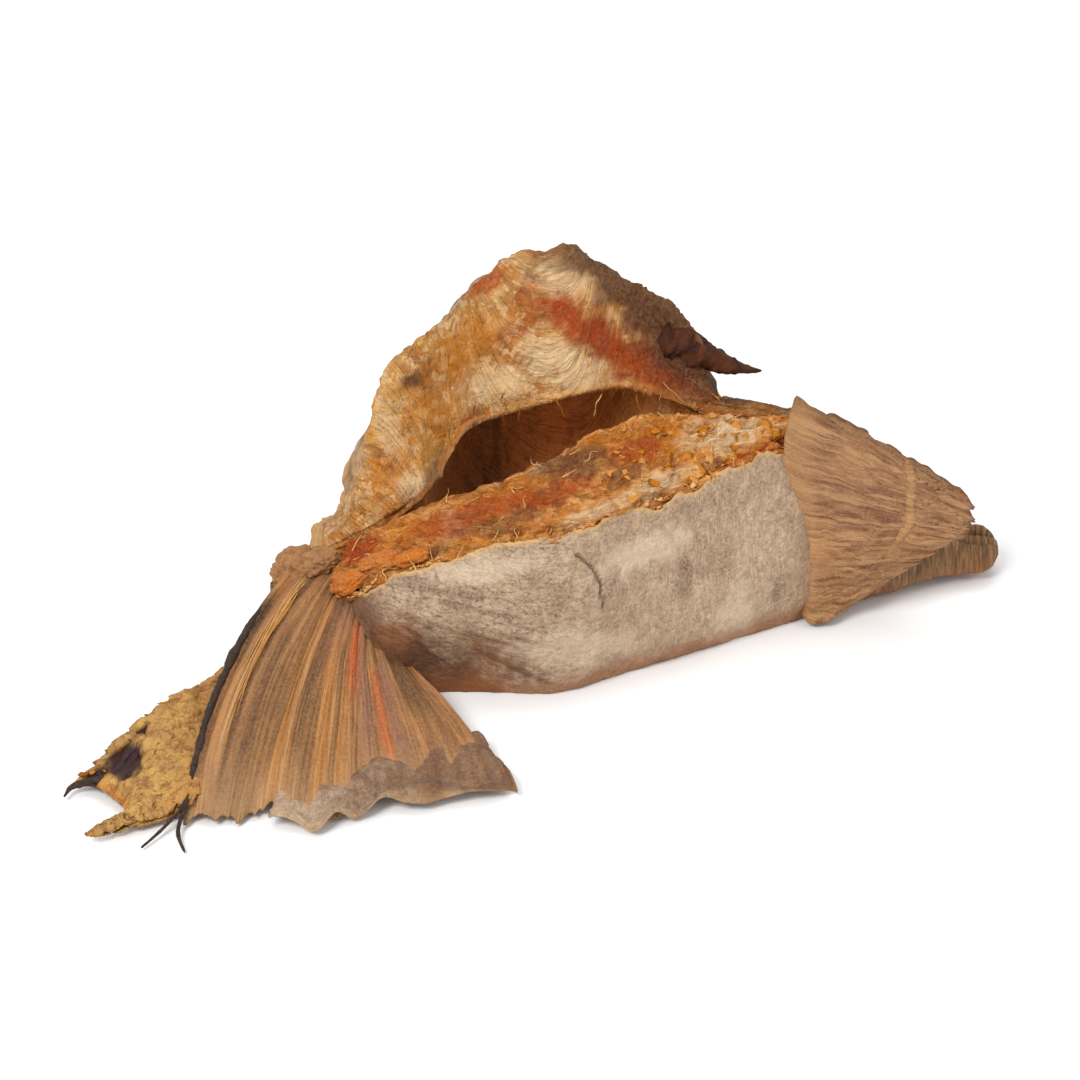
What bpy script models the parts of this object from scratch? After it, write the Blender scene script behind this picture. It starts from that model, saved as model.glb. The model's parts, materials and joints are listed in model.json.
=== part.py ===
# A piece of stockfish: the air-dried collar of a cod, with its skin, its thick meat and its two side fins.
#
# The drying has folded the collar into a cupped shape. A thick front wall shows its skin as a band
# and its meat as a ragged top, a thin rear flap arches up behind it, and a hollow lies between them.
# The left fin fans out over the table, the right one points back and up.
#
# Everything is worked out in millimetres: X runs along the skin band, Y away from the viewer, Z up.
# The finished mesh is moved to its own origin and scaled to metres at the end.

import bmesh
import bpy
import numpy as np
from mathutils import Vector, noise

MILLIMETRE = 0.001

# How each line of the collar runs along X, as (X, value) knots in millimetres.
FOOT_Y = ((-58, 22), (-50, 13), (-42, 4), (-30, 0), (0, 0), (20, 9), (40, 20), (62, 32), (86, 43), (104, 50))
EDGE_Y = ((-58, 25), (-50, 18), (-42, 11), (-22, 12), (2, 13), (21, 22), (53, 40), (70, 46), (86, 50), (104, 53))
EDGE_Z = ((-58, 14), (-50, 19), (-42, 23), (-22, 31), (2, 36), (32, 39), (56, 43), (72, 33), (86, 19), (104, 8))
BACK_Y = ((-58, 31), (-50, 29), (-42, 28), (-28, 33), (2, 39), (15, 46), (38, 50), (58, 50), (72, 52), (104, 56))
BACK_Z = ((-58, 16), (-50, 22), (-42, 26), (-28, 31), (2, 41), (15, 45), (38, 47), (58, 46), (72, 35), (104, 8))
LIP_Y = ((-58, 33), (-50, 32), (-42, 31), (-28, 37), (-17, 43), (0, 47), (18, 50), (38, 53), (58, 54), (104, 58))
LIP_Z = ((-58, 16), (-50, 22), (-42, 27), (-28, 33), (-23, 36), (-16, 47), (0, 51), (18, 54), (36, 49), (58, 44.5),
         (104, 8))
CREST_Y = ((-58, 36), (-46, 38), (-38, 48), (-22, 56), (0, 62), (20, 64), (42, 61), (58, 58), (104, 60))
CREST_Z = ((-58, 16), (-46, 25), (-42, 38), (-39, 50), (-35, 60), (-29, 65), (-22, 69), (-6, 83), (4, 84),
           (20, 76), (32, 68), (37.5, 62), (42, 44), (58, 42), (72, 33), (86, 19), (104, 8))
HEEL_Y = ((-58, 42), (-46, 62), (-30, 78), (0, 86), (40, 84), (70, 76), (90, 69), (104, 62))
UNDERSIDE_Z = ((-58, 5), (-44, 1.2), (-34, 0), (52, 0), (76, 1.4), (104, 3.5))
HOLLOW_OPEN = ((-38, 0), (-28, 0.12), (-21, 0.75), (-14, 1), (8, 1), (20, 0.7), (30, 0.25), (38, 0))

FLAP_THICKNESS = 6.5
BUCKLE_HEIGHT = 4.5
HOLLOW_FLOOR = 14.0
BAND_BULGE = 3.5
FOOT_ROUNDING = 4.0
LEFT_END, RIGHT_END = -58.0, 104.0
END_ROUNDING = 4.0
TAIL_FADE = 22.0
STATIONS = 60
END_STATIONS = 3
TINY_EDGE = 0.005

# Points along each stretch of a station's outline, and how far its relief stands out.
STRETCHES = {"band": (11, 0.7), "meat": (9, 2.2), "hollow": (15, 1.0), "flap": (20, 1.7), "underside": (6, 0.0)}

# Dents in the skin band, as centre, radii and depth.
DENTS = (
    ((-20, 2, 9), (17, 14, 9), 5.0),
    ((-44, 8, 18), (7, 12, 8), 3.5),
    ((2, 6, 20), (4, 9, 9), 1.2),
)

FAN_ROOT = ((0, (-57, 22, 18)), (0.2, (-50, 16, 18.5)), (0.5, (-44, 11, 17)), (0.8, (-39, 7, 12)), (1, (-31, 4, 6)))
FAN_TIPS = ((0, (-79, -50, 1.6)), (0.18, (-70, -51, 1.7)), (0.34, (-60, -47, 1.7)), (0.46, (-54, -51, 1.7)),
            (0.6, (-45, -48, 1.7)), (0.72, (-36, -40, 1.7)), (0.88, (-20, -38, 1.7)), (1, (-8, -33, 1.7)))
FAN_RAYS = 15
FAN_ROWS = 12
FAN_BOW = ((0, 4), (0.3, 4), (0.6, 4), (1, 3))
FAN_SPREAD = ((0, -5), (0.3, -2), (1, 0))
FAN_THICKNESS = 2.6

SHOULDER_ROOT = ((0, (61, 41, 55)), (0.25, (59, 38, 43)), (0.6, (62, 33, 20)), (1, (63, 32, 2)))
SHOULDER_TIPS = ((0, (100, 40, 30.5)), (0.35, (101, 40, 23)), (0.6, (92, 40, 15.5)), (0.8, (82, 38, 9)),
                 (1, (71, 35, 3)))
SHOULDER_FOLDS = 9
SHOULDER_ROWS = 11
SHOULDER_THICKNESS = 4.0

BONE_PLATE = ((0, (-70, 2, 7)), (1, (-77, -46, 2.6)))
BONE_PLATE_ENDS = ((0, (-104, -37, 2.4)), (0.18, (-98, -40, 2.6)), (0.36, (-93, -45, 2.6)), (0.6, (-91, -50, 2.6)),
                   (0.8, (-96, -55, 2.5)), (1, (-101, -58, 2.4)))
BONE_PLATE_THICKNESS = 4.2
HORNS = (
    ("flap_spine", ((31, 62, 61), (38, 61, 56.5), (44, 60, 53.5), (51, 59, 53)), 4.2, 0.6),
    ("ray_hook", ((-72, -10, 10), (-77, -34, 5), (-80, -48, 2.6), (-78, -56, 1.6), (-75, -62, 1.0)), 1.8, 0.6),
    ("ray_barb", ((-79, -42, 3), (-82, -50, 2), (-87, -59, 1.0)), 1.6, 0.6),
    ("jaw_hook", ((-96, -36, 3.2), (-103, -37, 2.6), (-106.5, -40, 1.6)), 2.0, 0.6),
)
HORN_SIDES = 6


def clear_scene():
    for old in list(bpy.data.objects):
        bpy.data.objects.remove(old)


def along(knots, x):
    """The value at x of a smooth curve through the knots. It never swings past them."""
    xs = np.array([knot[0] for knot in knots], float)
    values = np.array([knot[1] for knot in knots], float)
    steps = np.diff(xs)
    secants = (np.diff(values, axis=0).T / steps).T
    slopes = np.zeros_like(values)
    before, after = secants[:-1], secants[1:]
    same = before * after > 0
    slopes[1:-1] = np.where(same, 2 * before * after / np.where(same, before + after, 1), 0)
    i = int(np.clip(np.searchsorted(xs, x) - 1, 0, len(xs) - 2))
    t = float(np.clip((x - xs[i]) / steps[i], 0, 1))
    rise = t * t * (3 - 2 * t)
    return (
        values[i] * (1 - rise)
        + values[i + 1] * rise
        + steps[i] * (slopes[i] * t * (1 - t) ** 2 - slopes[i + 1] * t * t * (1 - t))
    )


def through(points, count, last=False):
    """count points spaced evenly on a rounded curve through the given ones."""
    points = np.array(points, float)
    padded = np.vstack([2 * points[0] - points[1], points, 2 * points[-1] - points[-2]])
    fine = []
    for a, b, c, d in zip(padded, padded[1:], padded[2:], padded[3:]):
        for t in np.linspace(0, 1, 12, endpoint=False):
            fine.append(
                0.5 * (2 * b + (c - a) * t + (2 * a - 5 * b + 4 * c - d) * t * t + (3 * b - a - 3 * c + d) * t ** 3)
            )
    fine = np.array(fine + [points[-1]])
    walked = np.concatenate([[0], np.cumsum(np.linalg.norm(np.diff(fine, axis=0), axis=1))])
    wanted = np.linspace(0, walked[-1], count, endpoint=last)
    return np.column_stack([np.interp(wanted, walked, fine[:, k]) for k in range(fine.shape[1])])


def outline(x):
    """The collar's closed outline at x, as (Y, Z) points: band, meat, hollow, flap and underside in turn."""
    foot_y, heel_y = along(FOOT_Y, x), along(HEEL_Y, x)
    edge = np.array([along(EDGE_Y, x), along(EDGE_Z, x)])
    back = np.array([along(BACK_Y, x), along(BACK_Z, x)])
    lip = np.array([along(LIP_Y, x), along(LIP_Z, x)])
    crest = np.array([along(CREST_Y, x), along(CREST_Z, x)])
    opening = float(along(HOLLOW_OPEN, x))
    foot = np.array([foot_y, 0.18 * edge[1] + 3])
    belly = (foot + edge) / 2 - [BAND_BULGE * min(1, edge[1] / 30), 0]
    under = float(along(UNDERSIDE_Z, x))
    ground = np.array([foot_y + FOOT_ROUNDING, under])
    rear = np.array([heel_y * 0.8 + crest[0] * 0.2 + 2, crest[1] * 0.52])
    heel = np.array([heel_y, 0.1 * crest[1] + 3])
    heel_ground = np.array([heel_y - FOOT_ROUNDING, under])
    shut = (back + lip) / 2 - [0, 1.5]
    floor_z = min(HOLLOW_FLOOR, 0.45 * back[1])
    deep = [
        (back[0] + 2, back[1] - 9),
        (back[0] + 1, floor_z + 7),
        (back[0] + 7, floor_z),
        (rear[0] - FLAP_THICKNESS - 7, floor_z + 1),
        (rear[0] - FLAP_THICKNESS - 1, crest[1] * 0.42),
        (crest[0] + 3, crest[1] - FLAP_THICKNESS - 7),
        (lip[0] + 4, lip[1] + 5),
    ]
    hollow = [shut + (np.array(point) - shut) * opening for point in deep]
    face = (lip + crest) / 2 + [-3.5 * opening, 2]
    stretches = {
        "band": through([ground, foot, belly, edge], STRETCHES["band"][0]),
        "meat": through([edge, edge + [1.6, -1.3], edge * 0.55 + back * 0.45 + [0, 1.2], back], STRETCHES["meat"][0]),
        "hollow": through([back, *hollow, lip], STRETCHES["hollow"][0]),
        "flap": through([lip, face, crest, rear, heel, heel_ground], STRETCHES["flap"][0]),
        "underside": through([heel_ground, ground], STRETCHES["underside"][0]),
    }
    return np.vstack(list(stretches.values()))


def station_places():
    """Stations along X, closer together where the crest of the flap climbs steeply."""
    xs = np.linspace(LEFT_END, RIGHT_END, 600)
    crest = np.array([along(CREST_Z, x) for x in xs])
    walked = np.concatenate([[0], np.cumsum(np.hypot(np.diff(xs), 0.6 * np.diff(crest)))])
    return np.interp(np.linspace(0, walked[-1], STATIONS), walked, xs)


def rounded_end(ring, x, outward):
    """Rings that close an end of the collar with a short rounded nose."""
    middle = ring.mean(axis=0)
    rings = []
    for turn in np.linspace(0, 1.35, END_STATIONS + 1)[1:]:
        shrunk = middle + (ring - middle) * np.cos(turn)
        place = x + outward * END_ROUNDING * np.sin(turn)
        rings.append(np.column_stack([np.full(len(ring), place), shrunk]))
    return rings


def collar_grid():
    """All of the collar's rings, as an array of stations by outline points by three."""
    places = station_places()
    rings = [np.column_stack([np.full(sum(n for n, _ in STRETCHES.values()), x), outline(x)]) for x in places]
    left = rounded_end(rings[0][:, 1:], places[0], -1)
    right = rounded_end(rings[-1][:, 1:], places[-1], 1)
    return np.array(left[::-1] + rings + right)


def outward_normals(grid):
    """Unit normals of the grid of rings, pointing out of the solid."""
    across = np.gradient(grid, axis=0)
    around = np.roll(grid, -1, axis=1) - np.roll(grid, 1, axis=1)
    normals = np.cross(across, around)
    return normals / np.maximum(np.linalg.norm(normals, axis=2, keepdims=True), 1e-9)


def relief_at(point):
    """Uneven drying, from -1 to 1: broad lumps with smaller crags on them."""
    place = Vector(point)
    broad = noise.noise(place / 17)
    crags = noise.noise(place / 6.5 + Vector((40, 0, 0)))
    return 0.8 * broad + 0.7 * crags


def buckle_at(point):
    """Long upright folds where the thin outer skin has shrunk, from -1 to 1."""
    place = Vector((point[0] / 15 + 0.02 * point[2], point[1] / 60, point[2] / 52))
    return 1.4 * noise.noise(place + Vector((7, 3, 11)))


def back_share(point):
    """1 on the rear face of the flap, fading to 0 at its crest and at the table."""
    rear = np.clip((point[1] - along(CREST_Y, point[0]) - 2) / 10, 0, 1)
    return float(rear * np.clip((point[2] - 2) / 12, 0, 1))


def relief_heights(x):
    """How far the relief stands out at each point of the outline at x. It fades where the outline is tight."""
    fade = float(np.clip((RIGHT_END - x) / TAIL_FADE, 0, 1))
    share = {"hollow": float(along(HOLLOW_OPEN, x)) * fade}
    return np.concatenate([np.full(count, height * share.get(name, fade)) for name, (count, height) in STRETCHES.items()])


def with_relief(grid):
    normals = outward_normals(grid)
    shaped = grid.copy()
    for i, ring in enumerate(grid):
        heights = relief_heights(ring[0][0])
        for j, point in enumerate(ring):
            shift = heights[j] * relief_at(point) + BUCKLE_HEIGHT * back_share(point) * buckle_at(point)
            for centre, radii, depth in DENTS:
                away = np.sum(((point - centre) / radii) ** 2)
                shift -= depth * np.exp(-2 * away) if heights[j] > 0 else 0
            shaped[i, j] = point + normals[i, j] * shift
    shaped[:, :, 2] = np.maximum(shaped[:, :, 2], 0)
    return shaped


def mesh_object(name, bm):
    """A new object with the built mesh as triangles, which keep the later union free of long thin faces."""
    bmesh.ops.recalc_face_normals(bm, faces=bm.faces)
    bmesh.ops.triangulate(bm, faces=bm.faces)
    mesh = bpy.data.meshes.new(name)
    bm.to_mesh(mesh)
    bm.free()
    made = bpy.data.objects.new(name, mesh)
    bpy.context.scene.collection.objects.link(made)
    return made


def collar():
    """The body of the piece: closed rings joined into one skin, with both ends capped."""
    grid = with_relief(collar_grid())
    bm = bmesh.new()
    rings = [[bm.verts.new(point) for point in ring] for ring in grid]
    for near, far in zip(rings, rings[1:]):
        for j in range(len(near)):
            following = (j + 1) % len(near)
            bm.faces.new((near[j], near[following], far[following], far[j]))
    bm.faces.new(rings[0])
    bm.faces.new(rings[-1][::-1])
    return mesh_object("stockfish", bm)


def sheet(name, middle, thickness):
    """A closed thin solid round a grid of middle points. thickness has one value for each point."""
    rows, columns = middle.shape[:2]
    normals = np.cross(np.gradient(middle, axis=0), np.gradient(middle, axis=1))
    normals /= np.maximum(np.linalg.norm(normals, axis=2, keepdims=True), 1e-9)
    half = normals * thickness[:, :, None] / 2
    bm = bmesh.new()
    sides = [[[bm.verts.new(point) for point in row] for row in face] for face in (middle + half, middle - half)]
    for i in range(rows - 1):
        for j in range(columns - 1):
            for side in sides:
                bm.faces.new((side[i][j], side[i + 1][j], side[i + 1][j + 1], side[i][j + 1]))
    rim = [(i, 0) for i in range(rows)] + [(rows - 1, j) for j in range(1, columns)]
    rim += [(i, columns - 1) for i in range(rows - 2, -1, -1)] + [(0, j) for j in range(columns - 2, 0, -1)]
    for (a, b), (c, d) in zip(rim, rim[1:] + rim[:1]):
        bm.faces.new((sides[0][a][b], sides[0][c][d], sides[1][c][d], sides[1][a][b]))
    return mesh_object(name, bm)


def left_fin():
    """The fan of dried fin rays that spreads from the collar's left end down to the table."""
    columns = 2 * FAN_RAYS + 1
    middle = np.zeros((FAN_ROWS, columns, 3))
    thickness = np.zeros((FAN_ROWS, columns))
    for j in range(columns):
        turn = j / (columns - 1)
        root, tip = along(FAN_ROOT, turn), along(FAN_TIPS, turn)
        for i in range(FAN_ROWS):
            reach = i / (FAN_ROWS - 1)
            point = root + (tip - root) * (-0.12 + 1.12 * reach)
            swell = 4 * reach * (1 - reach)
            point = point + [along(FAN_SPREAD, turn) * swell, 0, along(FAN_BOW, turn) * swell]
            fold = (1 if j % 2 else -1) * 0.9 * (0.35 + 0.65 * swell) * min(1, 2 * (1 - turn))
            ragged = 2.2 * noise.noise(Vector((turn * 19, reach * 2, 5))) * reach
            middle[i, j] = point + (tip - root) / np.linalg.norm(tip - root) * ragged + [0, 0, fold]
            thickness[i, j] = FAN_THICKNESS * (1.5 - 0.8 * reach)
    middle[:, :, 2] = np.maximum(middle[:, :, 2], thickness / 2 + 0.2)
    return sheet("left_fin", middle, thickness)


def right_fin():
    """The folded shoulder fin, a striped wedge that runs from the band's right end to a blunt tip."""
    columns = 2 * SHOULDER_FOLDS + 1
    middle = np.zeros((SHOULDER_ROWS, columns, 3))
    thickness = np.zeros((SHOULDER_ROWS, columns))
    for j in range(columns):
        turn = j / (columns - 1)
        root, tip = along(SHOULDER_ROOT, turn), along(SHOULDER_TIPS, turn)
        for i in range(SHOULDER_ROWS):
            reach = i / (SHOULDER_ROWS - 1)
            point = root + (tip - root) * (-0.06 + 1.06 * reach)
            swell = 4 * reach * (1 - reach)
            fold = (1 if j % 2 else -1) * 0.45 * (0.4 + 0.6 * swell)
            arch = 2.0 * swell * (1 - turn) ** 2
            middle[i, j] = point + [0, -2.0 * swell - fold, arch]
            thickness[i, j] = SHOULDER_THICKNESS * (1.25 - 0.55 * reach)
    middle[:, :, 2] = np.maximum(middle[:, :, 2], 1.0)
    return sheet("right_fin", middle, thickness)


def bone_plate():
    """The flat cut end of the collar bone behind the left fin, with two prongs round a notch."""
    rows, columns = 9, 13
    middle = np.zeros((rows, columns, 3))
    for j in range(columns):
        turn = j / (columns - 1)
        start, end = along(BONE_PLATE, turn), along(BONE_PLATE_ENDS, turn)
        for i in range(rows):
            reach = i / (rows - 1)
            lump = 1.2 * noise.noise(Vector((reach * 3, turn * 4, 9)))
            swell = 4 * reach * (1 - reach)
            middle[i, j] = start + (end - start) * reach + [0, 0, lump + 3.0 * swell * (1 - turn)]
    thickness = np.full((rows, columns), BONE_PLATE_THICKNESS) * np.linspace(1.2, 0.8, rows)[:, None]
    middle[:, :, 2] = np.maximum(middle[:, :, 2], thickness / 2 + 0.1)
    return sheet("bone_plate", middle, thickness)


def horn(name, path, thick, thin):
    """A tapered spine or hooked ray tip along a short path."""
    centres = through(path, 3 * len(path), last=True)
    tangents = np.gradient(centres, axis=0)
    radii = np.linspace(thick, thin, len(centres)) / 2
    bm = bmesh.new()
    rings = []
    for centre, tangent, radius in zip(centres, tangents, radii):
        side = Vector(tangent).cross(Vector((0, 0, 1))).normalized()
        rise = side.cross(Vector(tangent)).normalized()
        turns = np.linspace(0, 2 * np.pi, HORN_SIDES, endpoint=False)
        spokes = [side * float(np.cos(turn)) + rise * float(np.sin(turn)) for turn in turns]
        rings.append([bm.verts.new(Vector(centre) + spoke * float(radius)) for spoke in spokes])
    for near, far in zip(rings, rings[1:]):
        for j in range(HORN_SIDES):
            following = (j + 1) % HORN_SIDES
            bm.faces.new((near[j], near[following], far[following], far[j]))
    bm.faces.new(rings[0])
    bm.faces.new(rings[-1][::-1])
    return mesh_object(name, bm)


def fuse(body, limbs):
    """Joins the limbs to the body with one Boolean union and removes them."""
    joined = bpy.data.collections.new("limbs")
    bpy.context.scene.collection.children.link(joined)
    for limb in limbs:
        bpy.context.scene.collection.objects.unlink(limb)
        joined.objects.link(limb)
    union = body.modifiers.new("fuse", "BOOLEAN")
    union.operation = "UNION"
    union.operand_type = "COLLECTION"
    union.collection = joined
    union.solver = "MANIFOLD"
    with bpy.context.temp_override(object=body, active_object=body):
        bpy.ops.object.modifier_apply(modifier=union.name)
    for limb in limbs:
        bpy.data.objects.remove(limb)
    bpy.data.collections.remove(joined)


def keep_main_shell(body):
    """Fills any hollow that the union sealed and drops loose scraps: only the largest shell stays."""
    bm = bmesh.new()
    bm.from_mesh(body.data)
    bmesh.ops.dissolve_degenerate(bm, edges=bm.edges, dist=TINY_EDGE)
    unseen = set(bm.faces)
    shells = []
    while unseen:
        shell, to_search = [], [unseen.pop()]
        while to_search:
            face = to_search.pop()
            shell.append(face)
            neighbours = {other for edge in face.edges for other in edge.link_faces} & unseen
            unseen -= neighbours
            to_search.extend(neighbours)
        shells.append(shell)
    shells.sort(key=len)
    for shell in shells[:-1]:
        bmesh.ops.delete(bm, geom=shell, context="FACES")
    bmesh.ops.triangulate(bm, faces=bm.faces)
    bm.to_mesh(body.data)
    bm.free()
    print("shells after the union", [len(shell) for shell in shells])


def stand_on_origin(body):
    """Moves the piece to the middle of its own footprint and from millimetres to metres."""
    points = np.array([vertex.co for vertex in body.data.vertices])
    low, high = points.min(axis=0), points.max(axis=0)
    centre = (low + high) / 2
    for vertex in body.data.vertices:
        moved = vertex.co - Vector((centre[0], centre[1], low[2]))
        vertex.co = moved * MILLIMETRE
    print("origin in the drawing's millimetres", np.round([centre[0], centre[1], low[2]], 3))


def dried_fish_material():
    material = bpy.data.materials.new("dried_fish")
    material.use_nodes = True
    shader = material.node_tree.nodes["Principled BSDF"]
    shader.inputs["Base Color"].default_value = (0.36, 0.20, 0.09, 1)
    shader.inputs["Roughness"].default_value = 0.62
    shader.inputs["Metallic"].default_value = 0.0
    return material


def main():
    clear_scene()
    body = collar()
    limbs = [left_fin(), right_fin(), bone_plate()]
    limbs += [horn(*spine) for spine in HORNS]
    fuse(body, limbs)
    keep_main_shell(body)
    stand_on_origin(body)
    body.data.materials.clear()
    body.data.materials.append(dried_fish_material())
    body.data.shade_smooth()
    body.data.set_sharp_from_angle(angle=np.radians(50))


main()
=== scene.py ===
# %% [markdown]
# # A piece of stockfish
#
# Stockfish is cod that has hung in cold wind until it is as hard as wood. This lesson builds one
# piece of it, the collar: the ring of meat, skin and bone behind the gills, with both side fins.
# Drying has folded it into a cup. We first open the plain solid that gives the size and place of
# everything. Then we make each layer again as a fine mesh and give it a finish made of nodes.

# %% Open the plain solid
import json
import math

import bmesh
import bpy
import numpy as np
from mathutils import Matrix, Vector, noise

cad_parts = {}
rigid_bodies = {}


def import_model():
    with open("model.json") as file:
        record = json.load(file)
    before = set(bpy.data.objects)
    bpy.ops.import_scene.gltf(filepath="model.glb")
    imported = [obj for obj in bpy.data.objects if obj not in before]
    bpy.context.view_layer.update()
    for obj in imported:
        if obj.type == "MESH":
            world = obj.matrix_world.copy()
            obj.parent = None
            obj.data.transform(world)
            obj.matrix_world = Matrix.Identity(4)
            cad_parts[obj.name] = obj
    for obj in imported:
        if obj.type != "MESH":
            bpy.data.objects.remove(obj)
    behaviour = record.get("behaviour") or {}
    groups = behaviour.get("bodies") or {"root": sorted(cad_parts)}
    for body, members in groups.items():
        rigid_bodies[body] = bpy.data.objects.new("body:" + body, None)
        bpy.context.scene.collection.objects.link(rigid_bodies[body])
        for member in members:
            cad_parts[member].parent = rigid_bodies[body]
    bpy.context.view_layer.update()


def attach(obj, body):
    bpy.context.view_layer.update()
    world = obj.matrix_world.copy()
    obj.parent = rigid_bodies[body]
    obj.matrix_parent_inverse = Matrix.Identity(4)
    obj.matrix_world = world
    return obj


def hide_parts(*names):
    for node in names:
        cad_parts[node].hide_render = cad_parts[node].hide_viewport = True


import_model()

# %% [markdown]
# ## The drawing
#
# The shape was drawn in millimetres: X runs along the grey skin band, Y away from us, Z up. We keep
# that drawing here and turn it into metres only when a mesh is made. Each line of the collar, such
# as the band's upper edge, is a handful of knots along X. A smooth curve joins them.

# %% Knots of the collar's lines
MILLIMETRE = 0.001
DRAWING_ORIGIN = np.array([0.594, 12.068, 0.0])

FOOT_Y = ((-58, 22), (-50, 13), (-42, 4), (-30, 0), (0, 0), (20, 9), (40, 20), (62, 32), (86, 43), (104, 50))
EDGE_Y = ((-58, 25), (-50, 18), (-42, 11), (-22, 12), (2, 13), (21, 22), (53, 40), (70, 46), (86, 50),
          (104, 53))
EDGE_Z = ((-58, 14), (-50, 19), (-42, 23), (-22, 31), (2, 36), (32, 39), (56, 43), (72, 33), (86, 19),
          (104, 8))
BACK_Y = ((-58, 31), (-50, 29), (-42, 28), (-28, 33), (2, 39), (15, 46), (38, 50), (58, 50), (72, 52),
          (104, 56))
BACK_Z = ((-58, 16), (-50, 22), (-42, 26), (-28, 31), (2, 41), (15, 45), (38, 47), (58, 46), (72, 35),
          (104, 8))
LIP_Y = ((-58, 33), (-50, 32), (-42, 31), (-28, 37), (-17, 43), (0, 47), (18, 50), (38, 53), (58, 54),
         (104, 58))
LIP_Z = ((-58, 16), (-50, 22), (-42, 27), (-28, 33), (-23, 36), (-16, 47), (0, 51), (18, 54), (36, 49),
         (58, 44.5), (104, 8))
CREST_Y = ((-58, 36), (-46, 38), (-38, 48), (-22, 56), (0, 62), (20, 64), (42, 61), (58, 58), (104, 60))
CREST_Z = ((-58, 16), (-46, 25), (-42, 38), (-39, 50), (-35, 60), (-29, 65), (-22, 69), (-6, 83), (4, 84),
           (20, 76), (32, 68), (37.5, 62), (42, 44), (58, 42), (72, 33), (86, 19), (104, 8))
HEEL_Y = ((-58, 42), (-46, 62), (-30, 78), (0, 86), (40, 84), (70, 76), (90, 69), (104, 62))
UNDERSIDE_Z = ((-58, 5), (-44, 1.2), (-34, 0), (52, 0), (76, 1.4), (104, 3.5))
HOLLOW_OPEN = ((-38, 0), (-28, 0.12), (-21, 0.75), (-14, 1), (8, 1), (20, 0.7), (30, 0.25), (38, 0))
LEFT_END, RIGHT_END = -58.0, 104.0
print("the collar runs", RIGHT_END - LEFT_END, "mm along X")

# %% Curves through the knots


def along(knots, place):
    """Values at place (a number or an array) of a smooth curve that never swings past its knots."""
    places = np.array([knot[0] for knot in knots], float)
    values = np.array([knot[1] for knot in knots], float)
    steps = np.diff(places)
    secants = (np.diff(values, axis=0).T / steps).T
    slopes = np.zeros_like(values)
    before, after = secants[:-1], secants[1:]
    same = before * after > 0
    slopes[1:-1] = np.where(same, 2 * before * after / np.where(same, before + after, 1), 0)
    place = np.asarray(place, float)
    i = np.clip(np.searchsorted(places, place) - 1, 0, len(places) - 2)
    t = np.clip((place - places[i]) / steps[i], 0, 1)
    step = steps[i]
    if values.ndim == 2:
        t, step = t[..., None], step[..., None]
    rise = t * t * (3 - 2 * t)
    curved = step * (slopes[i] * t * (1 - t) ** 2 - slopes[i + 1] * t * t * (1 - t))
    return values[i] * (1 - rise) + values[i + 1] * rise + curved


def through(points, count, last=False):
    """count points spaced evenly on a rounded curve through the given ones."""
    points = np.array(points, float)
    padded = np.vstack([2 * points[0] - points[1], points, 2 * points[-1] - points[-2]])
    fine = []
    for a, b, c, d in zip(padded, padded[1:], padded[2:], padded[3:]):
        t = np.linspace(0, 1, 16, endpoint=False)[:, None]
        square, cube = 2 * a - 5 * b + 4 * c - d, 3 * b - a - 3 * c + d
        fine.append(0.5 * (2 * b + (c - a) * t + square * t**2 + cube * t**3))
    fine = np.vstack([*fine, points[-1:]])
    walked = np.concatenate([[0], np.cumsum(np.linalg.norm(np.diff(fine, axis=0), axis=1))])
    wanted = np.linspace(0, walked[-1], count, endpoint=last)
    return np.column_stack([np.interp(wanted, walked, fine[:, k]) for k in range(fine.shape[1])])


print("the crest is highest at", round(float(along(CREST_Z, 4)), 1), "mm")

# %% [markdown]
# ## Grids that wrap round a form
#
# Blender's own flat grid is the start of every layer. A grid of 300 by 300 points can be laid on any
# curved form: each vertex knows its row and column, so it moves to the place worked out for that row
# and column. Where two edges of the grid land on the same line, they are merged, and the layer is
# closed. Every vertex can also carry marks, which are numbers between 0 and 1 that say how much of
# something is there. The materials read them later, as a painter reads a mask. One more mark, the
# lay, keeps the distances along the surface, so that fibres can follow it.

# %% Lay a flat grid on a form


def to_metres(points):
    return (np.asarray(points, float) - DRAWING_ORIGIN) * MILLIMETRE


def finished(name, bm):
    """A piece from a bmesh, smoothly shaded and placed in the scene."""
    made = bpy.data.objects.new(name, bpy.data.meshes.new(name))
    bm.to_mesh(made.data)
    bm.free()
    made.data.shade_smooth()
    bpy.context.scene.collection.objects.link(made)
    print(name, "has", sum(len(face.vertices) - 2 for face in made.data.polygons), "triangles")
    return made


def laid_grid(name, points, marks):
    """A closed mesh from a flat grid moved to points (rows by columns), carrying the given marks."""
    rows, columns = points.shape[:2]
    placed = to_metres(points).tolist()
    bm = bmesh.new()
    bmesh.ops.create_grid(bm, x_segments=rows - 1, y_segments=columns - 1, size=1.0)
    layers = []
    for mark, values in marks.items():
        kinds = bm.verts.layers.float_vector if values.ndim == 3 else bm.verts.layers.float
        layers.append((kinds.new(mark), values.tolist()))
    for vertex in bm.verts:
        i = round((vertex.co.x + 1) / 2 * (rows - 1))
        j = round((vertex.co.y + 1) / 2 * (columns - 1))
        vertex.co = placed[i][j]
        for layer, values in layers:
            vertex[layer] = values[i][j]
    bmesh.ops.remove_doubles(bm, verts=bm.verts, dist=0.001 * MILLIMETRE)
    bmesh.ops.recalc_face_normals(bm, faces=bm.faces)
    return finished(name, bm)


def surface_normals(points):
    """Unit normals of a grid of points, from its neighbours along rows and columns."""
    normals = np.cross(np.gradient(points, axis=0), np.gradient(points, axis=1))
    return normals / np.maximum(np.linalg.norm(normals, axis=2, keepdims=True), 1e-9)


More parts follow.
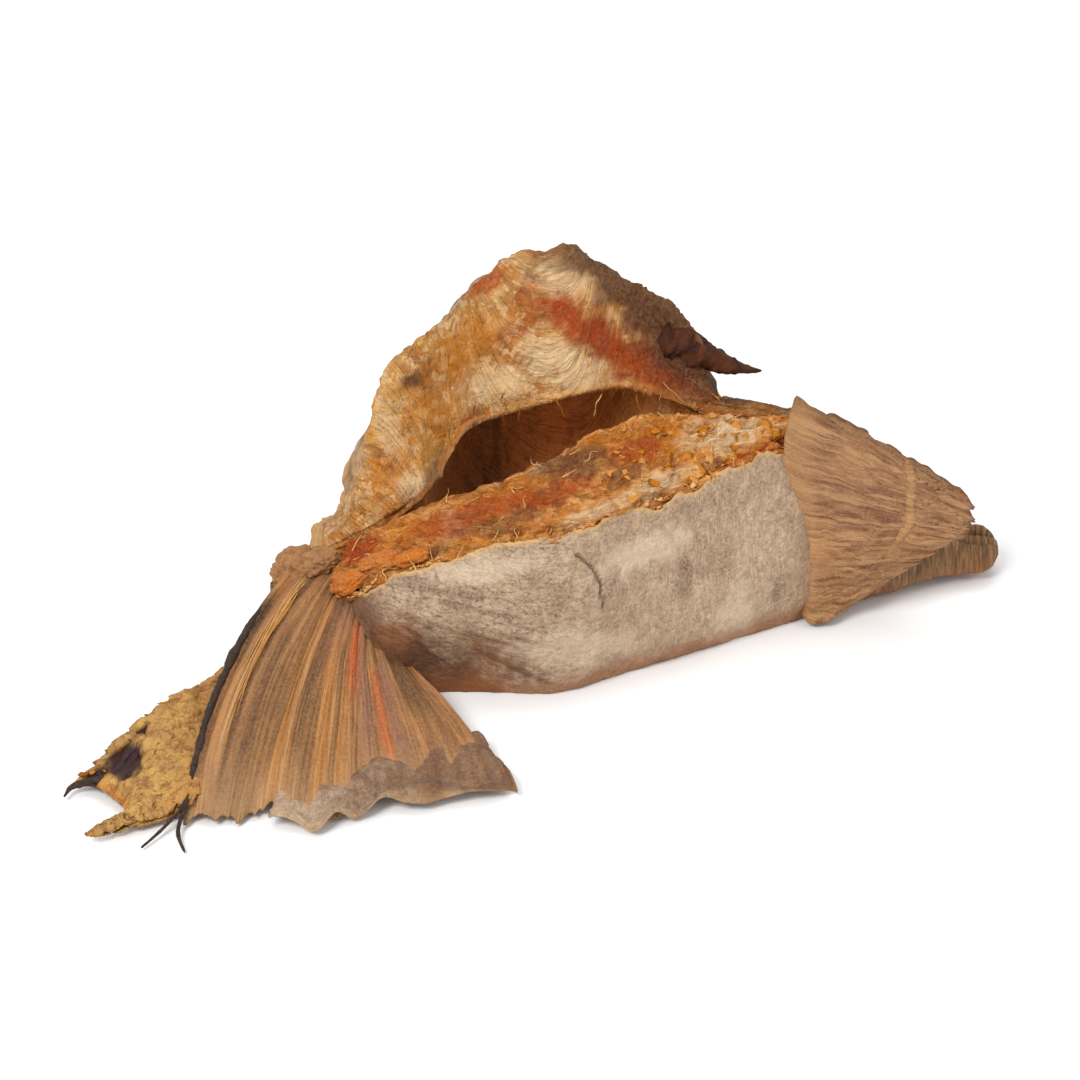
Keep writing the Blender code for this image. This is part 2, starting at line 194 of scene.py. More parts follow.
def reach_and_turn(rows, columns):
    """Two grids from 0 to 1: one grows from row to row, the other from column to column."""
    return np.meshgrid(np.linspace(0, 1, rows), np.linspace(0, 1, columns), indexing="ij")


def flat_sheet(first, second, height=0.0):
    """Points of a flat sheet from two grids of distances along it."""
    return np.stack([first, second, np.full(first.shape, height)], axis=-1)


def shut_ends(thickness):
    """The thickness with nothing left on the first and last row, so that the layer closes there."""
    thickness[0] = thickness[-1] = 0
    return thickness


def lift(points, least):
    """Raises the points that lie lower than the least height above the table, in millimetres."""
    points[..., 2] = np.maximum(points[..., 2], least)


def both_sides(front, back):
    """Columns that run across the front and home again across the back."""
    return np.concatenate([front, back[:, ::-1], front[:, :1]], axis=1)


def thin_shell(name, middle, thickness, marks, normals=None):
    """A closed thin layer round a grid of middle points. Thickness is given for each point, in mm."""
    normals = surface_normals(middle) if normals is None else normals
    half = normals * shut_ends(thickness)[:, :, None] / 2
    ringed = {mark: both_sides(values, values) for mark, values in marks.items()}
    return laid_grid(name, both_sides(middle + half, middle - half), ringed)


print("the drawing moves by", DRAWING_ORIGIN, "mm")


# %% [markdown]
# ## Noise for uneven drying
#
# No part of a dried fish is smooth. We add lumps with Blender's noise, measured in millimetres, so
# that a size of 17 gives lumps about as broad as a thumb and a size of 1 gives grains. A size with
# three numbers stretches the lumps along one direction, which is how fibres are made.

# %% Noise in millimetres


def lumps(points, size, seed=0.0, octaves=1):
    """Noise from about -1 to 1 at each point. size is one number, or one for each direction."""
    places = (points.reshape(-1, 3) / np.asarray(size, float) + seed).tolist()
    if octaves == 1:
        values = [noise.noise(Vector(place)) for place in places]
    else:
        values = [noise.fractal(Vector(place), 0.8, 2.1, octaves) for place in places]
    return np.array(values).reshape(points.shape[:-1])


def soft_step(values, low, high):
    """0 below low, 1 above high and a soft rise between them."""
    t = np.clip((values - low) / (high - low), 0, 1)
    return t * t * (3 - 2 * t)


def ridges(values):
    """Sharp ridges where the noise crosses zero, from 0 to 1."""
    return np.clip(1 - 2.2 * np.abs(values), 0, 1)


def bent_sheet(surface, points, amount, size, seed):
    """Distances along a surface pushed about by broad noise, so that fibres laid along it bend."""
    return surface + amount * np.stack([lumps(points, size, seed=seed + k) for k in range(3)], axis=-1)


VIEW_TILT = math.radians(32)


def picture_height(points):
    """How high a point shows in the front view, in millimetres above the table's line."""
    return points[..., 2] * math.cos(VIEW_TILT) + points[..., 1] * math.sin(VIEW_TILT) - 37


print("noise is ready")

# %% [markdown]
# ## The collar's body
#
# Seen from the end, the collar is a closed outline: up the skin band, over the thick meat, down into
# the hollow, up the inner face of the rear flap, over its crest and down its outer back. We draw that
# outline at hundreds of places along X and lay one grid on all of them. The grid is finest on the meat
# and the flap, because the skin covers the rest.

# %% The outline at one place
FLAP_THICKNESS = 6.5
HOLLOW_FLOOR = 14.0
BAND_BULGE = 3.5
FOOT_ROUNDING = 4.0
STATIONS = 350
NOSE_RINGS = 9
END_ROUNDING = 4.0
STRETCHES = {"band": 26, "meat": 74, "hollow": 44, "flap": 108, "underside": 14}
STARTS = dict(zip(STRETCHES, np.cumsum([0, *STRETCHES.values()])))
COLUMNS = sum(STRETCHES.values())


def outline(x):
    """The closed outline at x as (Y, Z) points: band, meat, hollow, flap and underside in turn."""
    foot_y, heel_y, under = along(FOOT_Y, x), along(HEEL_Y, x), along(UNDERSIDE_Z, x)
    edge = np.array([along(EDGE_Y, x), along(EDGE_Z, x)])
    back = np.array([along(BACK_Y, x), along(BACK_Z, x)])
    lip = np.array([along(LIP_Y, x), along(LIP_Z, x)])
    crest = np.array([along(CREST_Y, x), along(CREST_Z, x)])
    opening = float(along(HOLLOW_OPEN, x))
    foot = np.array([foot_y, 0.18 * edge[1] + 3])
    belly = (foot + edge) / 2 - [BAND_BULGE * min(1, edge[1] / 30), 0]
    ground = np.array([foot_y + FOOT_ROUNDING, under])
    rear = np.array([heel_y * 0.8 + crest[0] * 0.2 + 2, crest[1] * 0.52])
    heel = np.array([heel_y, 0.1 * crest[1] + 3])
    heel_ground = np.array([heel_y - FOOT_ROUNDING, under])
    shut = (back + lip) / 2 - [0, 1.5]
    floor_z = min(HOLLOW_FLOOR, 0.45 * back[1])
    deep = [
        (back[0] + 2, back[1] - 9),
        (back[0] + 1, floor_z + 7),
        (back[0] + 7, floor_z),
        (rear[0] - FLAP_THICKNESS - 7, floor_z + 1),
        (rear[0] - FLAP_THICKNESS - 1, crest[1] * 0.42),
        (crest[0] + 3, crest[1] - FLAP_THICKNESS - 7),
        (lip[0] + 4, lip[1] + 5),
    ]
    hollow = [shut + (np.array(point) - shut) * opening for point in deep]
    face = (lip + crest) / 2 + [-3.5 * opening, 2]
    meat = [edge, edge + [1.6, -1.3], edge * 0.55 + back * 0.45 + [0, 1.2], back]
    return np.vstack([
        through([ground, foot, belly, edge], STRETCHES["band"]),
        through(meat, STRETCHES["meat"]),
        through([back, *hollow, lip], STRETCHES["hollow"]),
        through([lip, face, crest, rear, heel, heel_ground], STRETCHES["flap"]),
        through([heel_ground, ground], STRETCHES["underside"]),
    ])


print("an outline has", COLUMNS, "points")


# %% Outlines all along the collar


def stations():
    """Places along X, closer together where the crest climbs steeply."""
    even = np.linspace(LEFT_END, RIGHT_END, 600)
    climb = np.diff(along(CREST_Z, even))
    walked = np.concatenate([[0], np.cumsum(np.hypot(np.diff(even), 0.6 * climb))])
    return np.interp(np.linspace(0, walked[-1], STATIONS), walked, even)


def nose(ring, x, outward):
    """Rings that round off an end and close in one point."""
    middle = ring.mean(axis=0)
    rings = []
    for turn in np.linspace(0, math.pi / 2, NOSE_RINGS + 1)[1:]:
        shrunk = middle + (ring - middle) * max(math.cos(turn), 0)
        end = x + outward * END_ROUNDING * math.sin(turn)
        rings.append(np.column_stack([np.full(len(ring), end), shrunk]))
    return rings


places = stations()
rings = [np.column_stack([np.full(COLUMNS, x), outline(x)]) for x in places]
left_nose = nose(rings[0][:, 1:], places[0], -1)[::-1]
right_nose = nose(rings[-1][:, 1:], places[-1], 1)
plain_body = np.array([*left_nose, *rings, *right_nose])
print("the body has", plain_body.shape[0], "rings of", plain_body.shape[1], "points")

# %% [markdown]
# ### Dents, lumps and buckles
#
# The same broad lumps and dents as in the plain solid come first, so that the layers fit it. So do the
# buckles down the flap's back, where the skin shrank more than what is under it. The finer forms, torn
# ledges and long fibres, follow in the steps after this one.

# %% Relief of the body
TAIL_FADE = 22.0
BUCKLE_HEIGHT = 4.5
BROAD_RELIEF = {"band": 0.7, "meat": 2.2, "hollow": 1.0, "flap": 1.7, "underside": 0.0}
BODY_SINK = 0.35
SINK_UNDER_SKIN = 0.45
DENTS = (
    ((-20, 2, 9), (17, 14, 9), 5.0),
    ((-44, 8, 18), (7, 12, 8), 3.5),
    ((2, 6, 20), (4, 9, 9), 1.2),
)


def ring_normals(grid):
    """Outward unit normals of closed rings."""
    across = np.gradient(grid, axis=0)
    around = np.roll(grid, -1, axis=1) - np.roll(grid, 1, axis=1)
    normals = np.cross(across, around)
    return normals / np.maximum(np.linalg.norm(normals, axis=2, keepdims=True), 1e-9)


def broad_relief(grid, x):
    """Lumps, dents and buckles that the plain solid has too, in millimetres."""
    shape = 0.8 * lumps(grid, 17) + 0.7 * lumps(grid, 6.5, seed=(40, 0, 0))
    fade = np.clip((RIGHT_END - x) / TAIL_FADE, 0, 1)
    stretches = [np.full((count, len(x)), BROAD_RELIEF[part]) for part, count in STRETCHES.items()]
    heights = np.concatenate(stretches).T
    hollow = slice(STARTS["hollow"], STARTS["hollow"] + STRETCHES["hollow"])
    heights[:, hollow] *= along(HOLLOW_OPEN, x)[:, None]
    heights *= fade[:, None]
    shift = heights * shape
    rear = np.clip((grid[..., 1] - along(CREST_Y, grid[..., 0]) - 2) / 10, 0, 1)
    rear = rear * np.clip((grid[..., 2] - 2) / 12, 0, 1)
    folds = np.stack([grid[..., 0] / 15 + 0.02 * grid[..., 2], grid[..., 1] / 60, grid[..., 2] / 52], axis=-1)
    shift += BUCKLE_HEIGHT * rear * 1.4 * lumps(folds, 1, seed=(7, 3, 11))
    for centre, radii, depth in DENTS:
        away = np.sum(((grid - centre) / radii) ** 2, axis=-1)
        shift -= depth * np.exp(-2 * away) * (heights > 0)
    return shift


ring_x = plain_body[:, 0, 0]
outward = ring_normals(plain_body)
broad_body = plain_body + outward * broad_relief(plain_body, ring_x)[..., None]
lift(broad_body, 0)
print("lowest and highest point of the body", broad_body[..., 2].min(), round(broad_body[..., 2].max(), 1))

# %% Marks that say where meat, flap and hollow are


def share_of(*parts, soft=3):
    """1 on the named stretches of every ring, with a soft change over a few columns."""
    share = np.concatenate([np.full(count, float(part in parts)) for part, count in STRETCHES.items()])
    kernel = np.ones(2 * soft + 1) / (2 * soft + 1)
    smooth = np.convolve(np.concatenate([share[-soft:], share, share[:soft]]), kernel, mode="valid")
    return np.tile(smooth, (len(broad_body), 1))


def ring_lengths(grid):
    """How far each point lies round its ring, in millimetres from the first column."""
    steps = np.linalg.norm(np.diff(grid, axis=1), axis=2)
    return np.concatenate([np.zeros((len(grid), 1)), np.cumsum(steps, axis=1)], axis=1)


flap_height = picture_height(plain_body[:, STARTS["flap"]:STARTS["underside"]])
crest_column = STARTS["flap"] + np.argmax(flap_height, axis=1)
crest_column[:NOSE_RINGS] = crest_column[NOSE_RINGS]
crest_column[-NOSE_RINGS:] = crest_column[-NOSE_RINGS - 1]
crest_column = np.convolve(np.pad(crest_column, 5, mode="edge"), np.ones(11) / 11, mode="valid")
column_number = np.arange(COLUMNS)[None, :]
before_crest = 1 - soft_step(column_number - crest_column[:, None], -2, 5)
on_meat = share_of("meat")
on_flap = share_of("flap") * before_crest
in_hollow = share_of("hollow", soft=2) * soft_step(along(HOLLOW_OPEN, ring_x), 0.05, 0.5)[:, None]
lay = flat_sheet(plain_body[..., 0], ring_lengths(plain_body))
crest_gap = np.abs(column_number - crest_column[:, None]) * np.median(np.diff(lay[..., 1], axis=1))
print("the crest is column", int(np.median(crest_column)), "of", COLUMNS)

# %% [markdown]
# ### Torn meat and drawn fibres
#
# Dried meat breaks along its flakes, so its relief is made of sharp ledges that run the long way. The
# flap's inner face is a sheet of membrane and muscle. Its fibres follow the arch from the left root
# over the top, so its noise is stretched along the rings' neighbours and squeezed across them.

# %% Fine relief of the body


def fine_relief(grid, surface):
    """Ledges and fibres for the meat, the flap and the hollow, in millimetres."""
    ledges = ridges(lumps(grid, (11, 3.2, 3.2), seed=3.0))
    grains = lumps(grid, 1.7, seed=9.0, octaves=3)
    curled = soft_step(grid[..., 0], 8, 30) * ridges(lumps(grid, (2.6, 1.6, 1.6), seed=25.0))
    torn = 1.7 * ledges + 1.0 * lumps(grid, 3.4, seed=21.0) + 0.45 * grains + 0.8 * curled
    wander = bent_sheet(surface, grid, 2.2, 13, seed=5.0)
    fibres = ridges(lumps(wander, (16, 1.9, 1), seed=13.0))
    buckled = 1.1 * lumps(grid, 6.0, seed=31.0) + 0.5 * lumps(grid, 2.6, seed=33.0)
    wrinkled = 0.6 * fibres + buckled + 0.3 * grains
    strands = ridges(lumps(wander, (3.0, 9, 1), seed=17.0))
    stranded = 1.1 * strands + 0.3 * grains
    return on_meat * torn, on_flap * wrinkled, in_hollow * stranded, ledges, fibres, strands


torn, wrinkled, stranded, ledges, fibres, strands = fine_relief(broad_body, lay)
end_quiet = np.clip((RIGHT_END - ring_x) / 12, 0, 1) * np.clip((ring_x - LEFT_END) / 5, 0.15, 1)
tail_quiet = end_quiet[:, None]
fine_shift = (torn + wrinkled + stranded) * tail_quiet
under_skin = np.clip(1 - on_flap - on_meat - in_hollow, 0, 1)
body_sink = BODY_SINK + SINK_UNDER_SKIN * under_skin * tail_quiet
body_points = broad_body + outward * (fine_shift - body_sink)[..., None]
lift(body_points, 0)
print("fine relief from", round(fine_shift.min(), 2), "to", round(fine_shift.max(), 2), "mm")

# %% [markdown]
# ### Spots of colour
#
# Some colours have a place of their own: the orange run of oil on the flap, the pale film beside it,
# the dark red meat near the middle. Each is a named spot with a centre, a length, a width and a turn
# as they show from the front. Noise frays their edges, so none looks like a sprayed dot.

# %% Where the spots are
FLAP_SPOTS = (
    ("orange", (12, 48), (18, 4.6), -33, 1.0),
    ("orange", (29, 38), (17, 8.0), -30, 1.0),
    ("orange", (22, 41), (13, 4.0), -30, 1.0),
    ("orange", (-11, 60), (5, 2.4), 38, 0.8),
    ("orange", (-15, 27), (4, 3.0), 40, 0.9),
    ("orange", (-3, 50), (9, 2.0), 30, 0.5),
    ("dark", (-29, 37), (3.4, 1.7), 20, 0.9),
    ("dark", (26, 52), (20, 5.0), -36, 1.0),
    ("dark", (35, 42), (12, 5.6), -36, 1.0),
    ("dark", (13, 62), (10, 1.6), -22, 0.7),
    ("dark", (-24, 14), (3, 6.0), 15, 0.6),
    ("amber", (-35, 17), (5, 6.0), 0, 0.9),
    ("amber", (-22, 27), (7, 8.0), 60, 0.7),
    ("amber", (-16, 46), (13, 5.0), 42, 0.9),
    ("amber", (-29, 30), (4, 9.0), -20, 0.8),
    ("amber", (14, 56), (10, 3.0), -25, 0.8),
    ("pale", (6, 40), (12, 6.0), -15, 0.9),
    ("pale", (6, 60), (9, 4.5), -10, 0.8),
    ("pale", (-35, 26), (3, 8.0), 10, 0.6),
    ("pale", (-10, 36), (8, 4.0), 10, 0.7),
    ("pale", (-29, 10), (4, 6.0), 25, 0.9),
)
MEAT_SPOTS = (
    ("dark", (7, 17), (9, 4.0), 5, 0.75),
    ("dark", (-8, 4), (10, 2.2), 18, 0.6),
    ("dark", (-24, -3), (6, 1.6), 15, 0.5),
    ("dark", (20, 15), (5, 2.0), 20, 0.6),
    ("amber", (29, 22), (7, 5.0), 0, 1.0),
    ("amber", (16, 23), (9, 2.6), 5, 0.8),
    ("amber", (-28, 2), (9, 2.6), 15, 0.9),
    ("amber", (-6, 12), (8, 3.0), 15, 0.8),
    ("orange", (-14, 6), (16, 3.4), 18, 0.8),
    ("orange", (-41, -3), (6, 4.0), 20, 1.0),
    ("orange", (50, 20), (9, 1.5), 28, 1.0),
    ("orange", (3, 10), (11, 2.8), 22, 0.8),
    ("orange", (22, 20), (7, 2.4), 10, 0.8),
    ("pale", (43, 24), (11, 4.0), 8, 1.0),
    ("pale", (26, 12), (12, 2.4), 22, 0.9),
    ("pale", (-1, 18), (4, 3.0), 30, 0.7),
    ("pale", (-20, 4), (2.2, 3.0), 0, 0.7),
    ("pale", (12, 6), (8, 1.6), 22, 0.8),
    ("pale", (-40, 8), (10, 2.4), 25, 0.7),
)
SPOT_COLOURS = ("orange", "dark", "amber", "pale")


def spot_marks(points, spots, region):
    """One mark for each spot colour, frayed by noise and kept inside a region."""
    height = picture_height(points)
    fray = 0.45 * lumps(points, 4.2, seed=51.0) + 0.35 * lumps(points, 1.6, seed=57.0)
    marks = {colour: np.zeros(points.shape[:2]) for colour in SPOT_COLOURS}
    for colour, (x, y), (half_length, half_width), turn, strength in spots:
        a = math.radians(turn)
        u = (points[..., 0] - x) * math.cos(a) + (height - y) * math.sin(a)
        v = (height - y) * math.cos(a) - (points[..., 0] - x) * math.sin(a)
        reach = np.sqrt((u / half_length) ** 2 + (v / half_width) ** 2) + fray
        marks[colour] = np.maximum(marks[colour], strength * (1 - soft_step(reach, 0.45, 1.35)))
    return {colour: values * region for colour, values in marks.items()}


flap_marks = spot_marks(broad_body, FLAP_SPOTS, on_flap)
meat_marks = spot_marks(broad_body, MEAT_SPOTS, on_meat)
body_marks = {colour: np.maximum(flap_marks[colour], meat_marks[colour]) for colour in SPOT_COLOURS}
rim_width = 2.5 + 7 * soft_step(ring_x, 8, 38)[:, None] + 2.5 * lumps(broad_body, (7, 3, 3), seed=53.0)
right_crest = soft_step(ring_x, -10, 10)[:, None] * (1 - soft_step(crest_gap / rim_width, 0.6, 1.7))
right_crest = right_crest * share_of("flap")
body_marks["dark"] = np.maximum(body_marks["dark"], 0.95 * right_crest)
# Painted shade: the dark mark also darkens the hollow's left corner, where little light reaches.
hollow_corner_shade = in_hollow * (1 - soft_step(broad_body[..., 0], -14, 2))
body_marks["dark"] = np.maximum(body_marks["dark"], 0.6 * hollow_corner_shade)
body_marks["pale"] = np.maximum(body_marks["pale"], 0.7 * in_hollow * soft_step(strands, 0.15, 0.8))
body_marks |= {"flap": on_flap, "hollow": in_hollow, "lay": lay * MILLIMETRE}
raised = on_meat * ledges + on_flap * fibres + in_hollow * strands
# The ledge mark follows the height of the fine relief. The meat finish paints shade where it is low.
body_marks["ledge"] = np.clip(0.5 + 0.5 * raised + 0.25 * fine_shift, 0, 1)
print("marks on the body:", ", ".join(body_marks))

# %% Make the body


def closed_rings(values):
    return np.concatenate([values, values[:, :1]], axis=1)


closed_marks = {mark: closed_rings(values) for mark, values in body_marks.items()}
meat_body = laid_grid("meat_body", closed_rings(body_points), closed_marks)

# %% [markdown]
# ## The skin
#
# The grey skin is a layer about a millimetre thick. One sheet of it wraps the front band and turns under
# the piece, and another covers the flap's back. They stand a little proud of the meat, with a torn
# golden rim. We take strips of the body's rings between two columns, push them outwards and close them
# as shells.

# %% Strips of the body's surface


def strip(start, end, count):
    """Points and normals along each ring between two columns, which may differ by ring."""
    share = np.linspace(0, 1, count)[None, :]
    column = start[:, None] * (1 - share) + end[:, None] * share
    low = np.floor(column).astype(int)
    t = (column - low)[..., None]
    ring = np.arange(len(broad_body))[:, None]

    def sample(grid):
        return grid[ring, low % COLUMNS] * (1 - t) + grid[ring, (low + 1) % COLUMNS] * t

    points, normals = sample(broad_body), sample(outward)
    normals /= np.maximum(np.linalg.norm(normals, axis=2, keepdims=True), 1e-9)
    return points, normals


SKIN_THICKNESS = 1.1
SKIN_PROUD = 0.25
RAGGED_COLUMNS = 1.6
ring_line = flat_sheet(ring_x, 0 * ring_x)[:, None]
ragged = 1.1 * lumps(ring_line, 6.0, seed=2.5)[:, 0] + 0.35 * lumps(ring_line, 1.3, seed=8.5)[:, 0]
print("the skin is", SKIN_THICKNESS, "mm thick")

# %% The front band
BAND_COLUMNS = 118
under_start = np.full(len(ring_x), STARTS["underside"] + 8.0)
tail_wrap = (crest_column + 8 - STARTS["meat"]) * soft_step(ring_x, 62, 76)
band_edge = COLUMNS + STARTS["meat"] + RAGGED_COLUMNS * ragged + tail_wrap
band, band_out = strip(under_start, band_edge, BAND_COLUMNS)
band_height = ring_lengths(band)
rim_gap = band_height[:, -1:] - band_height
band_lay = flat_sheet(band[..., 0], band_height)


def skin_relief(points, surface):
    """Crazed wrinkles on the left, upright striations on the right, in millimetres."""
    right = soft_step(points[..., 0], 5, 35)
    wander = bent_sheet(surface, points, 1.6, 7, seed=61.0)
    crazed = ridges(lumps(wander, (4.5, 1.3, 1), seed=65.0))
    upright = ridges(lumps(wander, (0.9, 7.0, 1), seed=67.0))
    grains = lumps(points, 0.9, seed=69.0, octaves=2)
    lines = -0.22 * (1 - right) * crazed - 0.2 * right * upright
    return lines + 0.12 * grains + 0.25 * lumps(points, 3.1, seed=71.0)


CRACK = ((8.0, -3.4), (11.3, -6.2), (13.3, -9.6), (13.9, -15.2))
BAND_SPOTS = (
    ("dark", (33, -9), (7.0, 1.8), 84, 0.7),
    ("dark", (54.5, -11.5), (3.4, 1.2), 84, 0.9),
    ("dark", (43, -5), (4.0, 1.6), 80, 0.5),
    ("dark", (5, -13), (4.4, 2.4), 70, 0.6),
    ("dark", (16, -9), (4.0, 1.6), 75, 0.6),
    ("dark", (-22, -12), (15, 1.0), -8, 0.9),
    ("dark", (-14, -16), (12, 0.9), -12, 0.8),
    ("dark", (-30, -9), (8, 1.4), -14, 0.8),
    ("dark", (60, -20), (7, 2.2), 75, 0.6),
    ("pale", (-12, -7), (14, 2.6), 8, 0.8),
    ("pale", (24, -3), (12, 3.6), 22, 0.8),
    ("pale", (45, -18), (9, 5.0), 70, 0.7),
    ("pale", (8, -24), (14, 4.0), 5, 0.6),
)
band_seen = picture_height(band)


def crack_mark(points, heights):
    """A thin curved crack through the band's middle."""
    mark = np.zeros(heights.shape)
    for (x, y), (next_x, next_y) in zip(CRACK, CRACK[1:]):
        along_x, along_y = next_x - x, next_y - y
        from_x, from_y = points[..., 0] - x, heights - y
        t = np.clip((from_x * along_x + from_y * along_y) / (along_x**2 + along_y**2), 0, 1)
        gap = np.hypot(from_x - t * along_x, from_y - t * along_y)
        mark = np.maximum(mark, 0.75 * (1 - soft_step(gap, 0.05, 0.5)))
    return mark


front_only = soft_step(band_height, 14, 22)
crack = crack_mark(band, band_seen) * front_only
band_fray = 0.5 * lumps(band, 6, seed=81.0) + 0.35 * lumps(band, 2.0, seed=83.0)
fanned = np.arctan2(band_seen + 10, band[..., 0] + 52)
streaks = ridges(lumps(flat_sheet(fanned * 30, band[..., 0] * 0.05), 1, seed=85.0))
# The brown mark is partly the deep fold's own brown and partly painted shade in the fold. Painted shade is
# added at the band's left end too.
brown_reach = np.hypot((band[..., 0] + 24) / 27, (band_seen + 30) / 11.5) - 0.1
brown_reach += 0.6 * band_fray + 0.35 * streaks
left_shade = 1 - soft_step(band[..., 0] + 0.8 * (band_seen + 12) + 6 * band_fray, -44, -30)
band_marks = {
    "brown": np.clip((1 - soft_step(brown_reach, 0.45, 1.25)) + 0.8 * left_shade, 0, 1),
    "rim": (1 - soft_step(rim_gap + 0.6 * band_fray, 0.1, 1.2)) * (1 - soft_step(band[..., 0], 58, 66)),
    "crack": crack,
    "left": 1 - soft_step(band[..., 0] + 8 * band_fray, -6, 24),
    "tail": soft_step(band[..., 0] + 3 * band_fray, 56, 68),
    # Painted shade: the low mark browns the skin close to the table.
    "low": (1 - soft_step(band[..., 2] + 2.5 * band_fray, 2.5, 8)),
    "lay": band_lay * MILLIMETRE,
}
band_marks |= {colour: spot_marks(band, BAND_SPOTS, front_only)[colour] for colour in ("dark", "pale")}
band_out_shift = SKIN_PROUD + SKIN_THICKNESS / 2 + skin_relief(band, band_lay) - 0.9 * crack
band_points = band + band_out * band_out_shift[..., None]
band_thick = SKIN_THICKNESS * (0.3 + 0.7 * soft_step(rim_gap, 0.2, 2.6))
lift(band_points, 0.6)
front_skin = thin_shell("front_skin", band_points, band_thick, band_marks, band_out)

# %% The back of the flap
REAR_COLUMNS = 120
rear_start = crest_column + 3.0 + 1.2 * np.roll(ragged, 40)
rear, rear_out = strip(rear_start, np.full(len(ring_x), STARTS["underside"] + 9.0), REAR_COLUMNS)
rear_fall = ring_lengths(rear)
rear_lay = flat_sheet(rear[..., 0], rear_fall)
rear_wander = bent_sheet(rear_lay, rear, 3.0, 11, seed=91.0)
creases = ridges(lumps(rear_wander, (3.4, 26, 1), seed=95.0))
puckers = ridges(lumps(rear_wander, (9, 2.6, 1), seed=97.0))
rear_relief = 0.75 * creases - 0.3 * puckers
rear_relief += 0.3 * lumps(rear, 2.6, seed=99.0) + 0.12 * lumps(rear, 0.9, seed=5.5)
rear_fray = 0.5 * lumps(rear, 8, seed=101.0) + 0.35 * lumps(rear, 2.4, seed=103.0)
rear_marks = {
    "brown": np.clip(soft_step(rear_fray, 0.12, 0.5) * 0.7 + 0.3 * creases, 0, 1),
    "rim": 1 - soft_step(rear_fall, 0.6, 2.2),
    "crack": 0.5 * soft_step(puckers, 0.75, 1.0),
    "tail": soft_step(rear[..., 0] + 3 * rear_fray, 56, 72),
    # Painted shade: the low mark browns the skin close to the table.
    "low": (1 - soft_step(rear[..., 2] + 2.5 * rear_fray, 2.5, 8)),
    "lay": rear_lay * MILLIMETRE,
}
right_of_crest = soft_step(rear[..., 0], -6, 10)
golden_end = 0.9 * (1 - soft_step(rear[..., 0] + 3 * rear_fray, -48, -36))
rear_marks["rim"] = np.maximum(0.4 * rear_marks["rim"] * (1 - right_of_crest), golden_end)
rear_marks["brown"] = np.maximum(rear_marks["brown"], right_of_crest * (1 - soft_step(rear_fall, 3, 15)))
settled = soft_step(rear_fall, 0, 7)
rear_shift = settled * (SKIN_PROUD + SKIN_THICKNESS / 2 + rear_relief * tail_quiet) - 0.8 * (1 - settled)
rear_points = rear + rear_out * rear_shift[..., None]
rear_thick = SKIN_THICKNESS * (0.25 + 0.75 * soft_step(rear_fall, 0.2, 3.5))
lift(rear_points, 0.6)
rear_skin = thin_shell("rear_skin", rear_points, rear_thick, rear_marks, rear_out)

# %% [markdown]
# ## The left fin
#
# The side fin is a fan of stiff rays with a dry membrane between them. Each ray splits towards its
# tip, and the membrane is torn between the tips. A wave across the fan makes the rays: its crests
# are raised and thick, its troughs are the sunken membrane. A faster wave fades in for the split tips.

# %% Shape of the fan
FAN_ROOT = ((0, (-57, 22, 18)), (0.2, (-50, 16, 18.5)), (0.5, (-44, 11, 17)), (0.8, (-39, 7, 12)),
            (1, (-31, 4, 6)))
FAN_TIPS = ((0, (-79, -50, 1.6)), (0.18, (-70, -51, 1.7)), (0.34, (-60, -47, 1.7)), (0.46, (-54, -51, 1.7)),
            (0.6, (-45, -48, 1.7)), (0.72, (-36, -40, 1.7)), (0.88, (-20, -38, 1.7)), (1, (-8, -33, 1.7)))
FAN_BOW = ((0, 4), (0.3, 4), (0.6, 4), (1, 3))
FAN_SPREAD = ((0, -5), (0.3, -2), (1, 0))
FAN_RAYS = 15
FAN_ROWS, FAN_COLUMNS = 120, 316
RAY_THICKNESS, MEMBRANE_THICKNESS = 1.7, 0.7

fan_reach, fan_turn = reach_and_turn(FAN_ROWS, FAN_COLUMNS)
fan_flat = flat_sheet(fan_turn * 30, fan_reach * 9)
bent_turn = fan_turn + 0.016 * lumps(fan_flat, (5, 7, 1), seed=4.0) * np.sin(math.pi * fan_reach)
strong = 0.55 + 0.9 * lumps(fan_flat, (1.7, 5, 1), seed=6.0)
rays = np.clip(strong, 0.1, 1) * (0.5 - 0.5 * np.cos(2 * math.pi * FAN_RAYS * bent_turn))
split_turn = 3 * FAN_RAYS * bent_turn + 0.6 * lumps(fan_flat, 2.2, seed=8.0)
split_rays = 0.5 - 0.5 * np.cos(2 * math.pi * split_turn)
swell = 4 * fan_reach * (1 - fan_reach)


def fan_middle():
    """Middle surface of the fan: straight rays from root to tip, bowed up and folded."""
    root, tip = along(FAN_ROOT, fan_turn[0]), along(FAN_TIPS, fan_turn[0])
    points = root + (tip - root) * (-0.12 + 1.12 * fan_reach)[..., None]
    points[..., 0] += along(FAN_SPREAD, fan_turn) * swell
    points[..., 2] += along(FAN_BOW, fan_turn) * swell
    calm = np.minimum(1, 2 * (1 - fan_turn))
    points[..., 2] += (2 * rays - 0.6) * 0.4 * (0.35 + 0.65 * swell) * calm
    points[..., 2] += 0.1 * (2 * split_rays - 1) * soft_step(fan_reach, 0.08, 0.4)
    points[..., 2] += 1.3 * lumps(fan_flat, (4.5, 4, 1), seed=14.0) * soft_step(fan_reach, 0.1, 0.5)
    torn_tips = 2.2 * lumps(fan_flat * (19 / 30, 2 / 9, 1) + (0, 0, 5), 1) * fan_reach
    torn_tips += (3.2 * lumps(fan_flat, (2.4, 9, 1), seed=24.0) - 1.1 * (1 - rays)) * fan_reach**6
    torn_tips += 1.5 * lumps(fan_flat, (0.5, 6, 1), seed=28.0) * fan_reach**14
    unit = (tip - root) / np.linalg.norm(tip - root, axis=1, keepdims=True)
    return points + unit * torn_tips[..., None]


